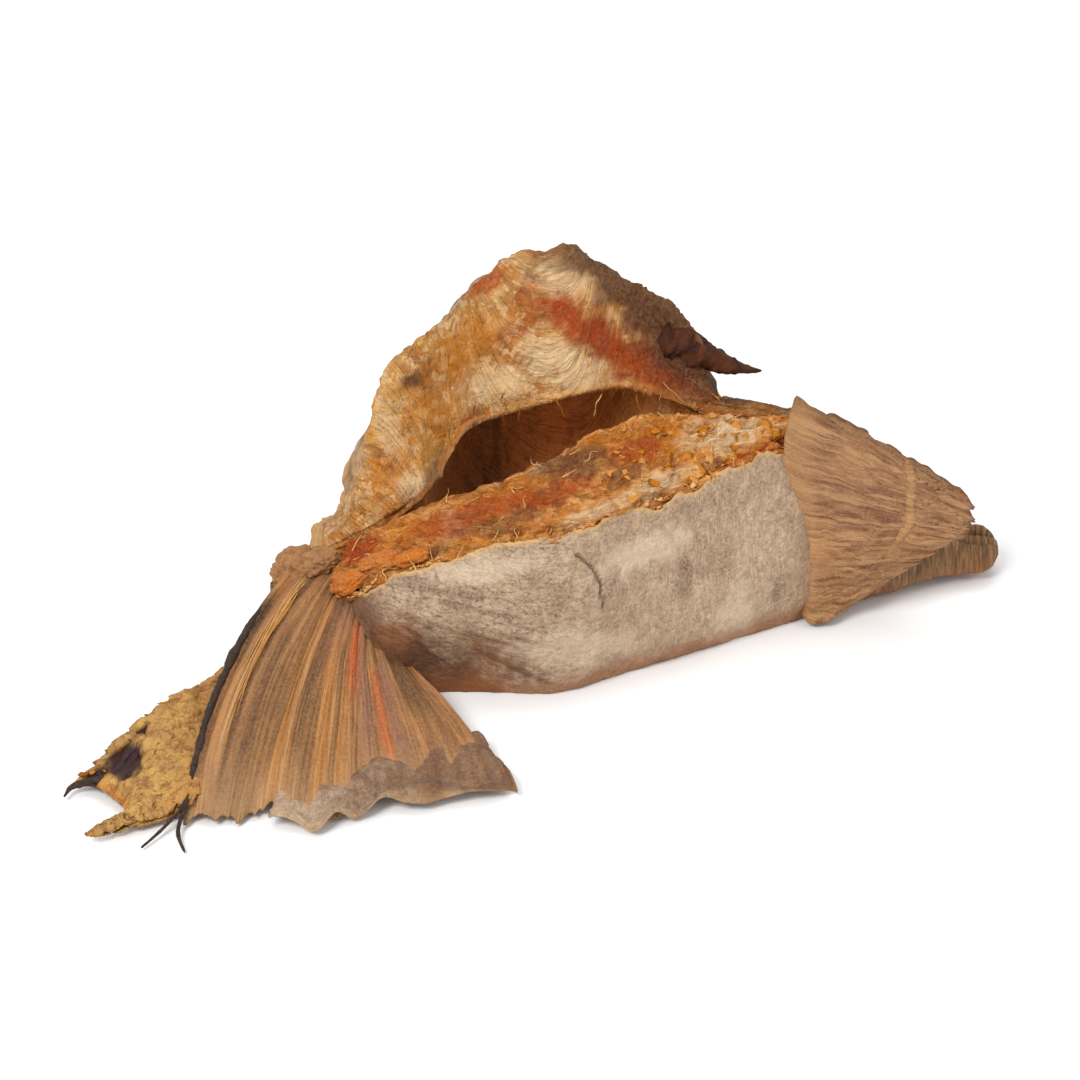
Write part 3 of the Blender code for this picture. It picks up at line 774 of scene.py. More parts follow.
fan_points = fan_middle()
fan_thick = MEMBRANE_THICKNESS + (RAY_THICKNESS - MEMBRANE_THICKNESS) * rays
fan_thick *= (1.35 - 0.85 * fan_reach) * soft_step(fan_reach, 0, 0.01)
fan_thick *= 1 - 0.999 * soft_step(fan_reach, 0.975, 1)
lift(fan_points, shut_ends(fan_thick) / 2 + 0.25)
print("the fan spreads", round(float(fan_points[-1, -1, 0] - fan_points[-1, 0, 0]), 1), "mm at its tips")

# %% Colour bands of the fan and its mesh
FAN_BANDS = (
    ("dark", 0.015, 0.045, 0.2, 1.1, 1.0),
    ("dark", 0.05, 0.03, 0.2, 0.42, 1.0),
    ("gold", 0.03, 0.06, -0.1, 0.16, 1.0),
    ("pale", 0.115, 0.008, 0.05, 0.8, 0.8),
    ("dark", 0.14, 0.012, 0.05, 0.9, 0.8),
    ("dark", 0.19, 0.03, 0.3, 1.1, 0.5),
    ("gold", 0.33, 0.04, 0.1, 1.0, 0.8),
    ("dark", 0.42, 0.025, 0.1, 0.8, 0.6),
    ("gold", 0.52, 0.035, 0.2, 1.0, 0.9),
    ("orange", 0.645, 0.034, 0.05, 0.5, 1.0),
    ("pale", 0.66, 0.03, -0.1, 0.1, 0.9),
    ("pale", 0.76, 0.03, -0.1, 0.14, 0.9),
    ("gold", 0.71, 0.03, 0.02, 0.3, 1.0),
    ("gold", 0.60, 0.03, 0.5, 1.0, 0.8),
    ("pink", 0.70, 0.03, 0.15, 0.85, 0.9),
    ("orange", 0.76, 0.018, 0.4, 0.9, 0.7),
    ("pink", 0.80, 0.025, 0.3, 0.9, 0.7),
    ("dark", 0.88, 0.05, 0.0, 0.6, 0.7),
    ("dark", 0.24, 0.04, 0.45, 1.1, 0.4),
    ("dark", 0.47, 0.03, 0.5, 1.1, 0.45),
    ("pink", 0.50, 0.07, -0.1, 0.3, 0.8),
    ("dark", 0.62, 0.05, -0.1, 0.1, 1.0),
    ("dark", 0.30, 0.015, 0.0, 0.9, 0.6),
    ("dark", 0.57, 0.012, 0.3, 1.1, 0.5),
)


def fan_bands():
    """One mark for each colour of the fan, from stripes that follow the rays."""
    wobble = 0.012 * lumps(fan_flat, (3, 2.2, 1), seed=34.0)
    marks = {colour: np.zeros(fan_turn.shape) for colour in ("dark", "pale", "gold", "orange", "pink")}
    for colour, centre, half, start, end, strength in FAN_BANDS:
        beside = 1 - soft_step(np.abs(fan_turn + wobble - centre), 0.35 * half, 1.3 * half)
        begun = soft_step(fan_reach, start - 0.06, start + 0.06)
        not_ended = 1 - soft_step(fan_reach, end - 0.12, end + 0.1)
        marks[colour] = np.maximum(marks[colour], strength * beside * begun * not_ended)
    return marks


fan_marks = fan_bands()
fan_marks |= {"ray": rays, "tip": soft_step(fan_reach, 0.72, 1.0), "lay": fan_flat * MILLIMETRE}
left_fin = thin_shell("left_fin", fan_points, fan_thick, fan_marks)

# %% [markdown]
# ## The right fin
#
# The other fin dried folded against the shoulder, so it shows as a striped wedge. It is made as the fan
# is, with narrower stripes, a worn upper edge and a short raised rib near its tip.

# %% Shape of the wedge
WEDGE_ROOT = ((0, (61, 41, 55)), (0.25, (59, 38, 43)), (0.6, (62, 33, 20)), (1, (63, 32, 2)))
WEDGE_TIPS = ((0, (100, 40, 30.5)), (0.35, (101, 40, 23)), (0.6, (92, 40, 15.5)), (0.8, (82, 38, 9)),
              (1, (71, 35, 3)))
WEDGE_FOLDS = 9
WEDGE_ROWS, WEDGE_COLUMNS = 130, 220
wedge_reach, wedge_turn = reach_and_turn(WEDGE_ROWS, WEDGE_COLUMNS)
wedge_flat = flat_sheet(wedge_reach * 42, wedge_turn * 46)
wedge_wander = bent_sheet(wedge_flat, wedge_flat, 1.5, 9, seed=41.0)
stripes = ridges(1.3 * lumps(wedge_wander, (24, 1.5, 1), seed=44.0))
wedge_swell = 4 * wedge_reach * (1 - wedge_reach)
rib_gap = wedge_reach - 0.66 - 0.05 * lumps(wedge_flat, (60, 9, 1), seed=45.0)
rib = np.exp(-((rib_gap / 0.014) ** 2)) * (1 - soft_step(wedge_turn, 0.45, 0.62))


def wedge_middle():
    """Middle surface of the folded fin."""
    root, tip = along(WEDGE_ROOT, wedge_turn[0]), along(WEDGE_TIPS, wedge_turn[0])
    points = root + (tip - root) * (-0.06 + 1.06 * wedge_reach)[..., None]
    fold = -np.cos(2 * math.pi * WEDGE_FOLDS * wedge_turn) * 0.25 * (0.4 + 0.6 * wedge_swell)
    points[..., 1] -= 2.0 * wedge_swell + fold + 0.6 * rib
    points[..., 1] -= 0.22 * stripes * soft_step(wedge_reach, 0.05, 0.3)
    past_rib = soft_step(wedge_reach, 0.66, 0.72) * (1 - soft_step(wedge_turn, 0.4, 0.7))
    points[..., 1] -= 0.4 * stripes * past_rib
    points[..., 1] += 2.4 * (1 - soft_step(wedge_reach, 0, 0.13)) * soft_step(wedge_turn, 0.05, 0.25)
    points[..., 1] += 0.7 * lumps(wedge_flat, 8, seed=46.0)
    points[..., 2] += 2.0 * wedge_swell * (1 - wedge_turn) ** 2
    edge_wear = 0.8 * lumps(wedge_flat, (3, 60, 1), seed=47.0) * (1 - soft_step(wedge_turn, 0, 0.12))
    points[..., 2] += edge_wear
    unit = (tip - root) / np.linalg.norm(tip - root, axis=1, keepdims=True)
    blunt = (1.6 * lumps(wedge_flat, (60, 2.2, 1), seed=48.0) + 0.7 * stripes) * wedge_reach**6
    return points + unit * blunt[..., None]


wedge_points = wedge_middle()
wedge_thick = 2.2 * (1.25 - 0.55 * wedge_reach) * np.ones_like(wedge_turn)
wedge_thick *= 1 - 0.75 * soft_step(wedge_reach, 0.93, 1) - 0.2 * (1 - soft_step(wedge_turn, 0, 0.05))
lift(wedge_points, 0.9)
wedge_marks = {
    "stripe": stripes,
    "top": 1 - soft_step(wedge_turn + 0.1 * lumps(wedge_flat, 7, seed=49.0), 0.3, 0.75),
    "edge": (1 - soft_step(wedge_turn + 0.03 * lumps(wedge_flat, (5, 30, 1), seed=52.0), 0.01, 0.1))
    + soft_step(wedge_reach, 0.96, 0.995),
    "golden": 0.6 * (1 - soft_step(wedge_reach + 0.05 * lumps(wedge_flat, 5, seed=50.0), 0.07, 0.18)) + rib,
    "lay": wedge_flat * MILLIMETRE,
}
wedge_marks["edge"] = np.clip(wedge_marks["edge"], 0, 1)
right_fin = thin_shell("right_fin", wedge_points, wedge_thick, wedge_marks)

# %% [markdown]
# ## The torn bone plate
#
# Behind the fan lies the flat end of the collar bone, broken off with two prongs round a notch. It is
# yellow like old ivory, with dark pits where blood vessels passed.

# %% Shape of the plate
PLATE_START = ((0, (-70, 2, 7)), (1, (-77, -46, 2.6)))
PLATE_ENDS = ((0, (-104, -37, 2.4)), (0.18, (-98, -40, 2.6)), (0.36, (-93, -45, 2.6)), (0.6, (-91, -50, 2.6)),
              (0.8, (-96, -55, 2.5)), (1, (-101, -58, 2.4)))
PLATE_ROWS, PLATE_COLUMNS = 130, 120
PITS = (((0.80, 0.17), (0.13, 0.15)), ((0.93, 0.08), (0.10, 0.08)), ((0.62, 0.10), (0.05, 0.06)),
        ((0.86, 0.62), (0.035, 0.07)), ((0.72, 0.42), (0.03, 0.05)))
plate_reach, plate_turn = reach_and_turn(PLATE_ROWS, PLATE_COLUMNS)
plate_flat = flat_sheet(plate_reach * 30, plate_turn * 30)
plate_start, plate_end = along(PLATE_START, plate_turn[0]), along(PLATE_ENDS, plate_turn[0])
plate_points = plate_start + (plate_end - plate_start) * plate_reach[..., None]
broad_lump = 1.2 * lumps(flat_sheet(plate_reach * 3, plate_turn * 4, height=9), 1)
plate_points[..., 2] += broad_lump + 3.0 * 4 * plate_reach * (1 - plate_reach) * (1 - plate_turn)
plate_unit = (plate_end - plate_start) / np.linalg.norm(plate_end - plate_start, axis=1, keepdims=True)
plate_points += plate_unit * (1.5 * lumps(plate_flat, (40, 2.4, 1), seed=74.0) * plate_reach**5)[..., None]
plate_points[..., 1] += 1.3 * lumps(plate_flat, (3.5, 60, 1), seed=75.0) * (1 - soft_step(plate_turn, 0, 0.2))

# %% Pits, ridges and the plate's mesh
pit_fray = 0.3 * lumps(plate_flat, 2.2, seed=76.0)
pits = np.zeros_like(plate_turn)
for (reach, turn), (long, wide) in PITS:
    away = np.hypot((plate_reach - reach) / long, (plate_turn - turn) / wide) + pit_fray
    pits = np.maximum(pits, 1 - soft_step(away, 0.6, 1.15))
plate_ridge = ridges(lumps(plate_flat, (5, 2.2, 1), seed=77.0))
plate_thick = 3.4 * (1.2 - 0.4 * plate_reach) * (1 - 0.45 * pits) * (1 - 0.5 * soft_step(plate_reach, 0.9, 1))
plate_thick *= 0.35 + 0.65 * np.sqrt(np.clip(np.minimum(plate_turn, 1 - plate_turn) / 0.08, 0, 1))
plate_points[..., 2] += 0.7 * plate_ridge + 0.4 * lumps(plate_flat, 1.8, seed=78.0) - 0.8 * pits
lift(plate_points, shut_ends(plate_thick) / 2 + 0.15)
plate_marks = {
    "pit": pits,
    "ridge": plate_ridge,
    "tip": soft_step(plate_reach, 0.93, 1.0),
    "near": 1 - soft_step(plate_reach + 0.1 * pit_fray, 0.12, 0.5),
}
bone_plate = thin_shell("bone_plate", plate_points, plate_thick, plate_marks)

# %% [markdown]
# ## Spines and hooks
#
# Four stiff ends stick out: the spine on the flap's right corner, two black ray tips that curl at the
# fan's front edge, and the prong of the bone plate. Each is a grid rolled into a tapering tube along a
# curved path.

# %% Roll a grid into a spine
fan_edge = [tuple(fan_points[row, 9] + (0, -0.2, 0.5)) for row in (26, 44, 62, 82, 104)]
SPINES = {
    "flap_spine": (
        ((25, 61, 63), (33, 60.5, 59.5), (40, 60.5, 56), (46, 60, 53.8), (52, 59, 53.4)), 12.5, 0.5
    ),
    "front_ray": ((*fan_edge, (-78.5, -48, 4.6), (-80, -55, 2), (-78, -62, 1.0)), 2.3, 0.8),
    "second_ray": ((fan_edge[3], fan_edge[4], (-79, -48, 4.4), (-83.5, -54, 2), (-88, -60, 1.0)), 1.8, 0.6),
    "plate_prong": (((-94, -38, 3.6), (-100, -37, 3.2), (-104.5, -38, 2.4), (-106.3, -41, 1.6)), 2.6, 0.7),
}


def rolled_tube(path, thick, thin, sides=20, steps=64):
    """Points of a tapering, slightly knotted tube along a path, closed at both ends."""
    centres = through(path, steps, last=True)
    tangents = np.gradient(centres, axis=0)
    side = np.cross(tangents, [0, 0.02, 1])
    side /= np.linalg.norm(side, axis=1, keepdims=True)
    rise = np.cross(side, tangents)
    rise /= np.linalg.norm(rise, axis=1, keepdims=True)
    turn = np.linspace(0, 2 * math.pi, sides + 1)
    radius = np.linspace(thick, thin, steps) / 2 * soft_step(np.linspace(0, 1, steps), -0.04, 0.14)
    radius[0] = radius[-1] = 0
    spokes = np.cos(turn)[None, :, None] * side[:, None] + np.sin(turn)[None, :, None] * rise[:, None]
    rolled = centres[:, None] + spokes * radius[:, None, None]
    knots = 1 + 0.3 * lumps(rolled, 1.3, seed=84.0) + 0.35 * lumps(rolled, 4.0, seed=86.0)
    rolled = centres[:, None] + spokes * (radius[:, None] * knots)[..., None]
    rolled[:, -1] = rolled[:, 0]
    lift(rolled, 0.2)
    return rolled


def spine(name, path, thick, thin, tint=0.0):
    rolled = rolled_tube(path, thick, thin)
    marks = {"lay": (rolled - rolled[0, 0]) * MILLIMETRE, "tint": np.full(rolled.shape[:2], tint)}
    return laid_grid(name, rolled, marks)


spines = [spine(name, *values, tint=float(name == "flap_spine")) for name, values in SPINES.items()]

# %% [markdown]
# ## Small forms at the joints
#
# Where the left fin leaves the collar, the joint has dried into knobs of gristle, some grey-brown and
# some orange. A lumpy seam of skin runs down the front of the right fin. Below the left fin hangs a wavy
# lobe of thin skin.

# %% Knobs of gristle
KNOBS = (
    ("grey", (-56.5, 26, 20), (5.5, 5.5, 4.5), 25),
    ("grey", (-51, 24, 23), (5.0, 4.0, 3.2), 20),
    ("orange", (-37, 16, 27.5), (5.5, 2.8, 2.2), 20),
    ("orange", (-44, 14, 23.5), (4.6, 2.8, 2.4), 30),
    ("orange", (-30, 14, 30), (4.4, 2.0, 1.6), 18),
)


def gristle():
    """All knobs as one piece, each a rounded ball pressed out of shape by noise."""
    bm = bmesh.new()
    orange = bm.verts.layers.float.new("orange")
    for number, (tint, centre, radii, turn) in enumerate(KNOBS):
        ball = bmesh.ops.create_icosphere(bm, subdivisions=5, radius=1.0)["verts"]
        unit = np.array([tuple(vertex.co) for vertex in ball])
        bulge = 1 + 0.35 * lumps(unit, 0.7, seed=3.0 * number) + 0.16 * lumps(unit, 0.25, seed=5.0 * number)
        bulge += 0.06 * lumps(unit, 0.09, seed=7.0 * number)
        local = unit * bulge[:, None] * radii
        c, d = math.cos(math.radians(turn)), math.sin(math.radians(turn))
        placed = to_metres(local @ np.array([[c, 0, d], [0, 1, 0], [-d, 0, c]]) + centre)
        for vertex, place in zip(ball, placed.tolist()):
            vertex.co = place
            vertex[orange] = float(tint == "orange")
    return finished("gristle_knobs", bm)


gristle_knobs = gristle()

# %% The lobe of skin under the left fin, and the right fin's seam
LOBE_ROOT = ((0, (-58, -40, 4)), (0.5, (-40, -29, 6)), (1, (-14, -20, 5)))
LOBE_TIPS = ((0, (-60, -52, 1.4)), (0.3, (-48, -53, 1.4)), (0.5, (-38, -48, 1.4)), (0.75, (-22, -44, 1.4)),
             (1, (-5, -40, 1.4)))
LOBE_ROWS, LOBE_COLUMNS = 70, 220
lobe_reach, lobe_turn = reach_and_turn(LOBE_ROWS, LOBE_COLUMNS)
lobe_flat = flat_sheet(lobe_turn * 55, lobe_reach * 22)
lobe_root, lobe_tips = along(LOBE_ROOT, lobe_turn[0]), along(LOBE_TIPS, lobe_turn[0])
lobe_points = lobe_root + (lobe_tips - lobe_root) * lobe_reach[..., None]
lobe_wave = np.sin(2 * math.pi * 3.2 * lobe_turn + 5 * lumps(lobe_flat, 16, seed=111.0))
lobe_points[..., 2] += 1.5 * (1 + lobe_wave) * lobe_reach + 0.6 * lumps(lobe_flat, 4, seed=113.0)
lobe_points[..., 1] += (1.0 * lobe_wave + 3.0 * lumps(lobe_flat, (5, 60, 1), seed=115.0)) * lobe_reach**3
lift(lobe_points, 0.8)
lobe_thick = 1.0 * (1 - 0.6 * lobe_reach)
lobe_fray = 0.5 * lumps(lobe_flat, 6, seed=117.0) + 0.35 * lumps(lobe_flat, 2, seed=119.0)
lobe_marks = {
    "brown": 0.7 * soft_step(lobe_turn + 0.6 * lobe_fray - 0.4 * lobe_reach, -0.1, 0.5),
    "dark": 0.8 * ridges(lumps(lobe_flat, (3.2, 30, 1), seed=121.0)) * soft_step(lobe_turn, 0.1, 0.6),
    "rim": 0.2 * soft_step(lobe_reach, 0.8, 1.0),
    "lay": lobe_flat * MILLIMETRE,
}
skin_lobe = thin_shell("skin_lobe", lobe_points, lobe_thick, lobe_marks)
seam_path = [tuple(wedge_points[12, column] + (-0.3, 0.3, 0)) for column in (3, 40, 80, 120, 160, 200)]
fin_seam = spine("fin_seam", seam_path, 1.8, 1.2)

# %% [markdown]
# ## Flakes, crumbs and loose fibres
#
# Hundreds of tiny scraps make the piece look dry: flakes that lift off the meat, crumbs along the torn
# rim of the skin and stray fibres. A seeded random generator picks a place on the surface for each, so
# the same scraps come out every time. Each has fewer than a hundred faces,
# because there are so many.

# %% Scatter flakes
chance = np.random.default_rng(41)
meat_columns = slice(STARTS["meat"], STARTS["meat"] + STRETCHES["meat"])
rim_column = STARTS["meat"] + 1
SCRAPS = {"meat": 70, "skin rim": 260, "fin edge": 40, "plate": 50}


def frame_at(normal):
    """Three directions at a surface point: two along it, turned at random, and its normal."""
    normal = normal / np.linalg.norm(normal)
    spin = chance.normal(size=3)
    first = np.cross(normal, spin)
    first /= np.linalg.norm(first)
    return first, np.cross(normal, first), normal


def scrap(place, normal, lengths, tints):
    """Place and normal of one scrap, with a length and a tint drawn by chance from their ranges."""
    return place, normal, chance.uniform(*lengths), chance.uniform(*tints)


def flake_places():
    """Places, normals, lengths and tints of all flakes and crumbs."""
    found = []
    inner = np.nonzero((ring_x > -46) & (ring_x < 58))[0]
    right_side = np.nonzero((ring_x > 14) & (ring_x < 56))[0]
    for _ in range(SCRAPS["meat"]):
        i, j = chance.choice(right_side), chance.integers(meat_columns.start + 2, meat_columns.stop)
        place = body_points[i, j] - 0.2 * outward[i, j]
        found.append(scrap(place, outward[i, j], (0.6, 2.2), (0.3, 0.6)))
    for _ in range(SCRAPS["skin rim"]):
        i, j = chance.choice(inner), rim_column + chance.integers(-2, 3)
        place = body_points[i, j] + 0.4 * outward[i, j]
        found.append(scrap(place, outward[i, j], (0.3, 0.8), (0.4, 0.9)))
    for _ in range(SCRAPS["fin edge"]):
        row, column = chance.integers(20, 125), chance.integers(190, 219)
        found.append(scrap(wedge_points[row, column], (0, -1, 0.3), (0.4, 1.0), (0.4, 0.8)))
    for _ in range(SCRAPS["plate"]):
        row, column = chance.integers(10, 125), chance.integers(0, 16)
        found.append(scrap(plate_points[row, column] + (0, 0, 0.6), (0, 0, 1), (0.5, 1.5), (0, 0.5)))
    return found


def one_flake(place, normal, size, tint):
    """A small, thin, bent flake with a frayed outline, as a mesh of its own."""
    bm = bmesh.new()
    tint_layer = bm.verts.layers.float.new("tint")
    first, second, rise = frame_at(np.asarray(normal, float))
    lift = rise + 0.2 * chance.normal() * first + 0.2 * chance.normal() * second
    long, wide, thin = size, size * chance.uniform(0.4, 0.8), 0.16
    bend = chance.uniform(-0.2, 0.45) * size
    for vertex in bmesh.ops.create_icosphere(bm, subdivisions=2, radius=1.0)["verts"]:
        x, y, z = vertex.co
        rough = 1 + 0.9 * noise.noise(Vector((1.9 * x, 1.9 * y, place[0])))
        x, y = x * rough, y * rough
        spread = place + first * (x * long) + second * (y * wide)
        vertex.co = to_metres(spread + lift * (z * thin + bend * (x * x - 0.3)))
        vertex[tint_layer] = tint
    return bm


def gathered(name, parts):
    """All small meshes as one piece."""
    whole = bmesh.new()
    for part in parts:
        carried = bpy.data.meshes.new("carried")
        part.to_mesh(carried)
        part.free()
        whole.from_mesh(carried)
        bpy.data.meshes.remove(carried)
    return finished(name, whole)


dry_flakes = gathered("dry_flakes", [one_flake(*values) for values in flake_places()])

# %% Stray fibres
FIBRES = {"meat": 90, "skin rim": 60, "fan": 14, "flap": 46}


def fibre_paths():
    """Paths, widths and tints of all stray fibres."""
    found = []
    inner = np.nonzero((ring_x > -44) & (ring_x < 52))[0]
    for _ in range(FIBRES["meat"]):
        i, j = chance.choice(inner), chance.integers(meat_columns.start, meat_columns.stop)
        first, second, rise = frame_at(outward[i, j])
        reach = chance.uniform(1.5, 5.5)
        wander = 0.25 * reach * chance.normal(size=(4, 1))
        steps = np.linspace(0, 1, 4)[:, None]
        curl = rise * chance.uniform(0, 1.6) * steps
        path = body_points[i, j] + 0.2 * rise + first * reach * steps + second * wander * steps + curl
        found.append((path, chance.uniform(0.18, 0.4), chance.uniform(0.4, 1.0)))
    for _ in range(FIBRES["skin rim"]):
        i, j = chance.choice(inner), rim_column + chance.integers(-2, 2)
        reach = chance.uniform(0.8, 2.4)
        steps = np.linspace(0, 1, 4)[:, None]
        way = outward[i, j] + 0.8 * chance.normal(size=3)
        shake = chance.normal(size=(4, 3)) * 0.15
        path = body_points[i, j] + 0.4 * outward[i, j] + way * reach * steps + shake
        found.append((path, chance.uniform(0.15, 0.3), chance.uniform(0.7, 1.0)))
    for _ in range(FIBRES["fan"]):
        column = int(chance.integers(32, 42))
        rows = np.linspace(chance.integers(6, 30), chance.integers(60, 96), 5).astype(int)
        path = fan_points[rows, column] + [0, 0, 1.0] + chance.normal(size=(5, 3)) * 0.25
        found.append((path, chance.uniform(0.2, 0.35), chance.uniform(0.55, 0.8)))
    for _ in range(FIBRES["flap"]):
        i = chance.choice(inner)
        j = STARTS["flap"] + chance.integers(0, 10)
        steps = np.linspace(0, 1, 5)[:, None]
        drop = np.array([chance.normal() * 2.5, chance.uniform(-2, 2), -chance.uniform(1.5, 6)])
        path = body_points[i, j] + 0.2 * outward[i, j] + drop * steps + chance.normal(size=(5, 3)) * 0.25
        found.append((path, chance.uniform(0.2, 0.45), chance.uniform(0.1, 0.7)))
    return found


def one_fibre(path, width, tint, sides=5, steps=12):
    """A thin closed tube along a path, as a mesh of its own."""
    bm = bmesh.new()
    tint_layer = bm.verts.layers.float.new("tint")
    tube = to_metres(rolled_tube(path, width, 0.4 * width, sides, steps))
    for vertex in bmesh.ops.create_grid(bm, x_segments=steps - 1, y_segments=sides, size=1.0)["verts"]:
        i = round((vertex.co.x + 1) / 2 * (steps - 1))
        j = round((vertex.co.y + 1) / 2 * sides)
        vertex.co = tube[i, j]
        vertex[tint_layer] = tint
    bmesh.ops.remove_doubles(bm, verts=bm.verts, dist=0.0005 * MILLIMETRE)
    bmesh.ops.recalc_face_normals(bm, faces=bm.faces)
    return bm


stray_fibres = gathered("stray_fibres", [one_fibre(*values) for values in fibre_paths()])

# %% [markdown]
# ## Colours and node helpers
#
# The finishes are made from nodes. Colours are written as they look on a screen, from 0 to 255, and a
# short function turns them into the linear values that Blender works with.

# %% Helpers for node trees


def seen_colour(red, green, blue):
    """A colour as seen on a screen, as Blender's linear values."""
    parts = [part / 255 for part in (red, green, blue)]
    linear = [((part + 0.055) / 1.055) ** 2.4 if part > 0.04 else part / 12.92 for part in parts]
    return (*linear, 1.0)


def add_node(tree, kind, inputs=None, **settings):
    """A new node. Its inputs take plain values, or another node's output to link."""
    made = tree.nodes.new("ShaderNode" + kind)
    for setting, value in settings.items():
        setattr(made, setting, value)
    for socket, value in (inputs or {}).items():
        if isinstance(value, bpy.types.NodeSocket):
            tree.links.new(value, made.inputs[socket])
        else:
            made.inputs[socket].default_value = value
    return made


def mixed(tree, share, first, second):
    """The colour between two colours."""
    return add_node(tree, "Mix", {0: share, 6: first, 7: second}, data_type="RGBA").outputs[2]


def between(tree, share, first, second):
    """The colour between two colours that are given as seen on a screen."""
    return mixed(tree, share, seen_colour(*first), seen_colour(*second))


def painted(tree, colour, where, strength, tint):
    """The colour with a tint painted over it, where a mask says and at most as strongly as given."""
    return mixed(tree, worked(tree, "MULTIPLY", where, strength), colour, seen_colour(*tint))


def layered(tree, colour, coats):
    """The colour with several coats painted over it, each with its place, strength and tint."""
    for coat in coats:
        colour = painted(tree, colour, *coat)
    return colour


def stepped(tree, value, low, high, to_low=0.0, to_high=1.0):
    """A soft step of a value from low to high."""
    inputs = {"Value": value, "From Min": low, "From Max": high, "To Min": to_low, "To Max": to_high}
    return add_node(tree, "MapRange", inputs, interpolation_type="SMOOTHSTEP").outputs["Result"]


def worked(tree, operation, first, second=0.0):
    """One step of arithmetic."""
    return add_node(tree, "Math", {0: first, 1: second}, operation=operation).outputs["Value"]


def arrows(tree, operation, inputs):
    """One step of arithmetic on vectors."""
    return add_node(tree, "VectorMath", inputs, operation=operation).outputs["Vector"]


def mark(tree, name, output="Fac"):
    """A mark that the mesh carries."""
    return add_node(tree, "Attribute", attribute_name=name, attribute_type="GEOMETRY").outputs[output]


def new_finish(name, gloss=0.2):
    """A material, its node tree and its shader. Gloss is how strongly it mirrors the light."""
    print("mixing", name)
    material = bpy.data.materials.new(name)
    material.use_nodes = True
    shader = material.node_tree.nodes["Principled BSDF"]
    shader.inputs["Specular IOR Level"].default_value = gloss
    return material, material.node_tree, shader


print("node helpers are ready")

# %% [markdown]
# ### Effects that several finishes share
#
# Every layer of the fish has a patchy, speckled surface, and most have fibres. Both effects are node
# groups: a small tree with named inputs and outputs, built once and placed in each material with its
# own sizes. They give out masks and heights. The shader stays in the material.

# %% Patches, speckles and fibres as node groups


def new_group(name, inputs, outputs):
    """An empty shader node group with float inputs and outputs and one vector input called Place."""
    group = bpy.data.node_groups.new(name, "ShaderNodeTree")
    group.interface.new_socket("Place", in_out="INPUT", socket_type="NodeSocketVector")
    for socket, value in inputs.items():
        made = group.interface.new_socket(socket, in_out="INPUT", socket_type="NodeSocketFloat")
        made.default_value = value
    for socket in outputs:
        group.interface.new_socket(socket, in_out="OUTPUT", socket_type="NodeSocketFloat")
    return group, group.nodes.new("NodeGroupInput").outputs, group.nodes.new("NodeGroupOutput").inputs


def grain_group():
    """Broad patches and fine speckle, each from 0 to 1."""
    inputs = {"Patch Scale": 120.0, "Speckle Scale": 900.0}
    group, given, wanted = new_group("dried_grain", inputs, ("Patches", "Speckle"))
    patch = {"Vector": given["Place"], "Scale": given["Patch Scale"], "Detail": 4.0, "Roughness": 0.6}
    patches = add_node(group, "TexNoise", patch | {"Distortion": 0.6}).outputs["Fac"]
    speckle = {"Vector": given["Place"], "Scale": given["Speckle Scale"], "Detail": 3.0, "Roughness": 0.65}
    speckles = add_node(group, "TexNoise", speckle).outputs["Fac"]
    group.links.new(stepped(group, patches, 0.3, 0.7), wanted["Patches"])
    group.links.new(stepped(group, speckles, 0.3, 0.7), wanted["Speckle"])
    return group


def fibre_group():
    """Fibres drawn out along one direction of the surface, and the thin dark lines between them."""
    group, given, wanted = new_group(
        "drawn_fibres", {"Along Scale": 60.0, "Across Scale": 900.0, "Wander": 0.002}, ("Fibres", "Gaps")
    )
    bend = {"Vector": given["Place"], "Scale": 160.0, "Detail": 2.0}
    bent = add_node(group, "TexNoise", bend).outputs["Color"]
    centred = arrows(group, "SUBTRACT", {0: bent, 1: (0.5, 0.5, 0.5)})
    wander = arrows(group, "SCALE", {0: centred, "Scale": given["Wander"]})
    parts = add_node(group, "SeparateXYZ", {0: arrows(group, "ADD", {0: given["Place"], 1: wander})}).outputs
    lengthwise = worked(group, "MULTIPLY", parts["X"], given["Along Scale"])
    crosswise = worked(group, "MULTIPLY", parts["Y"], given["Across Scale"])
    squeezed = add_node(group, "CombineXYZ", {"X": lengthwise, "Y": crosswise}).outputs["Vector"]
    drawing = {"Vector": squeezed, "Scale": 1.0, "Detail": 3.0, "Roughness": 0.55}
    drawn = add_node(group, "TexNoise", drawing).outputs["Fac"]
    off_middle = worked(group, "ABSOLUTE", worked(group, "SUBTRACT", drawn, 0.5))
    group.links.new(stepped(group, drawn, 0.32, 0.68), wanted["Fibres"])
    group.links.new(stepped(group, off_middle, 0.0, 0.045, 1.0, 0.0), wanted["Gaps"])
    return group


grain, drawn_fibres = grain_group(), fibre_group()


def placed_group(tree, group, place, **values):
    """A group in a material's tree, with its Place linked and its values set."""
    made = add_node(tree, "Group", node_tree=group)
    tree.links.new(place, made.inputs["Place"])
    for socket, value in values.items():
        made.inputs[socket.replace("_", " ")].default_value = value
    return made.outputs


def grained(tree, place, patch, speckle):
    """Patches and speckle of two sizes. The numbers are how many noise cells there are in a metre."""
    return placed_group(tree, grain, place, Patch_Scale=patch, Speckle_Scale=speckle)


def fibred(tree, surface, lengthwise, crosswise, wander):
    """Fibres along a surface, as many cells in a metre each way, bent by so many metres."""
    return placed_group(
        tree, drawn_fibres, surface, Along_Scale=lengthwise, Across_Scale=crosswise, Wander=wander
    )


def object_place(tree):
    return add_node(tree, "TexCoord").outputs["Object"]


def coloured(tree, shader, colour, richness):
    """Gives the shader its colour, a little more saturated than mixed."""
    richer = add_node(tree, "HueSaturation", {"Color": colour, "Saturation": richness})
    tree.links.new(richer.outputs["Color"], shader.inputs["Base Color"])


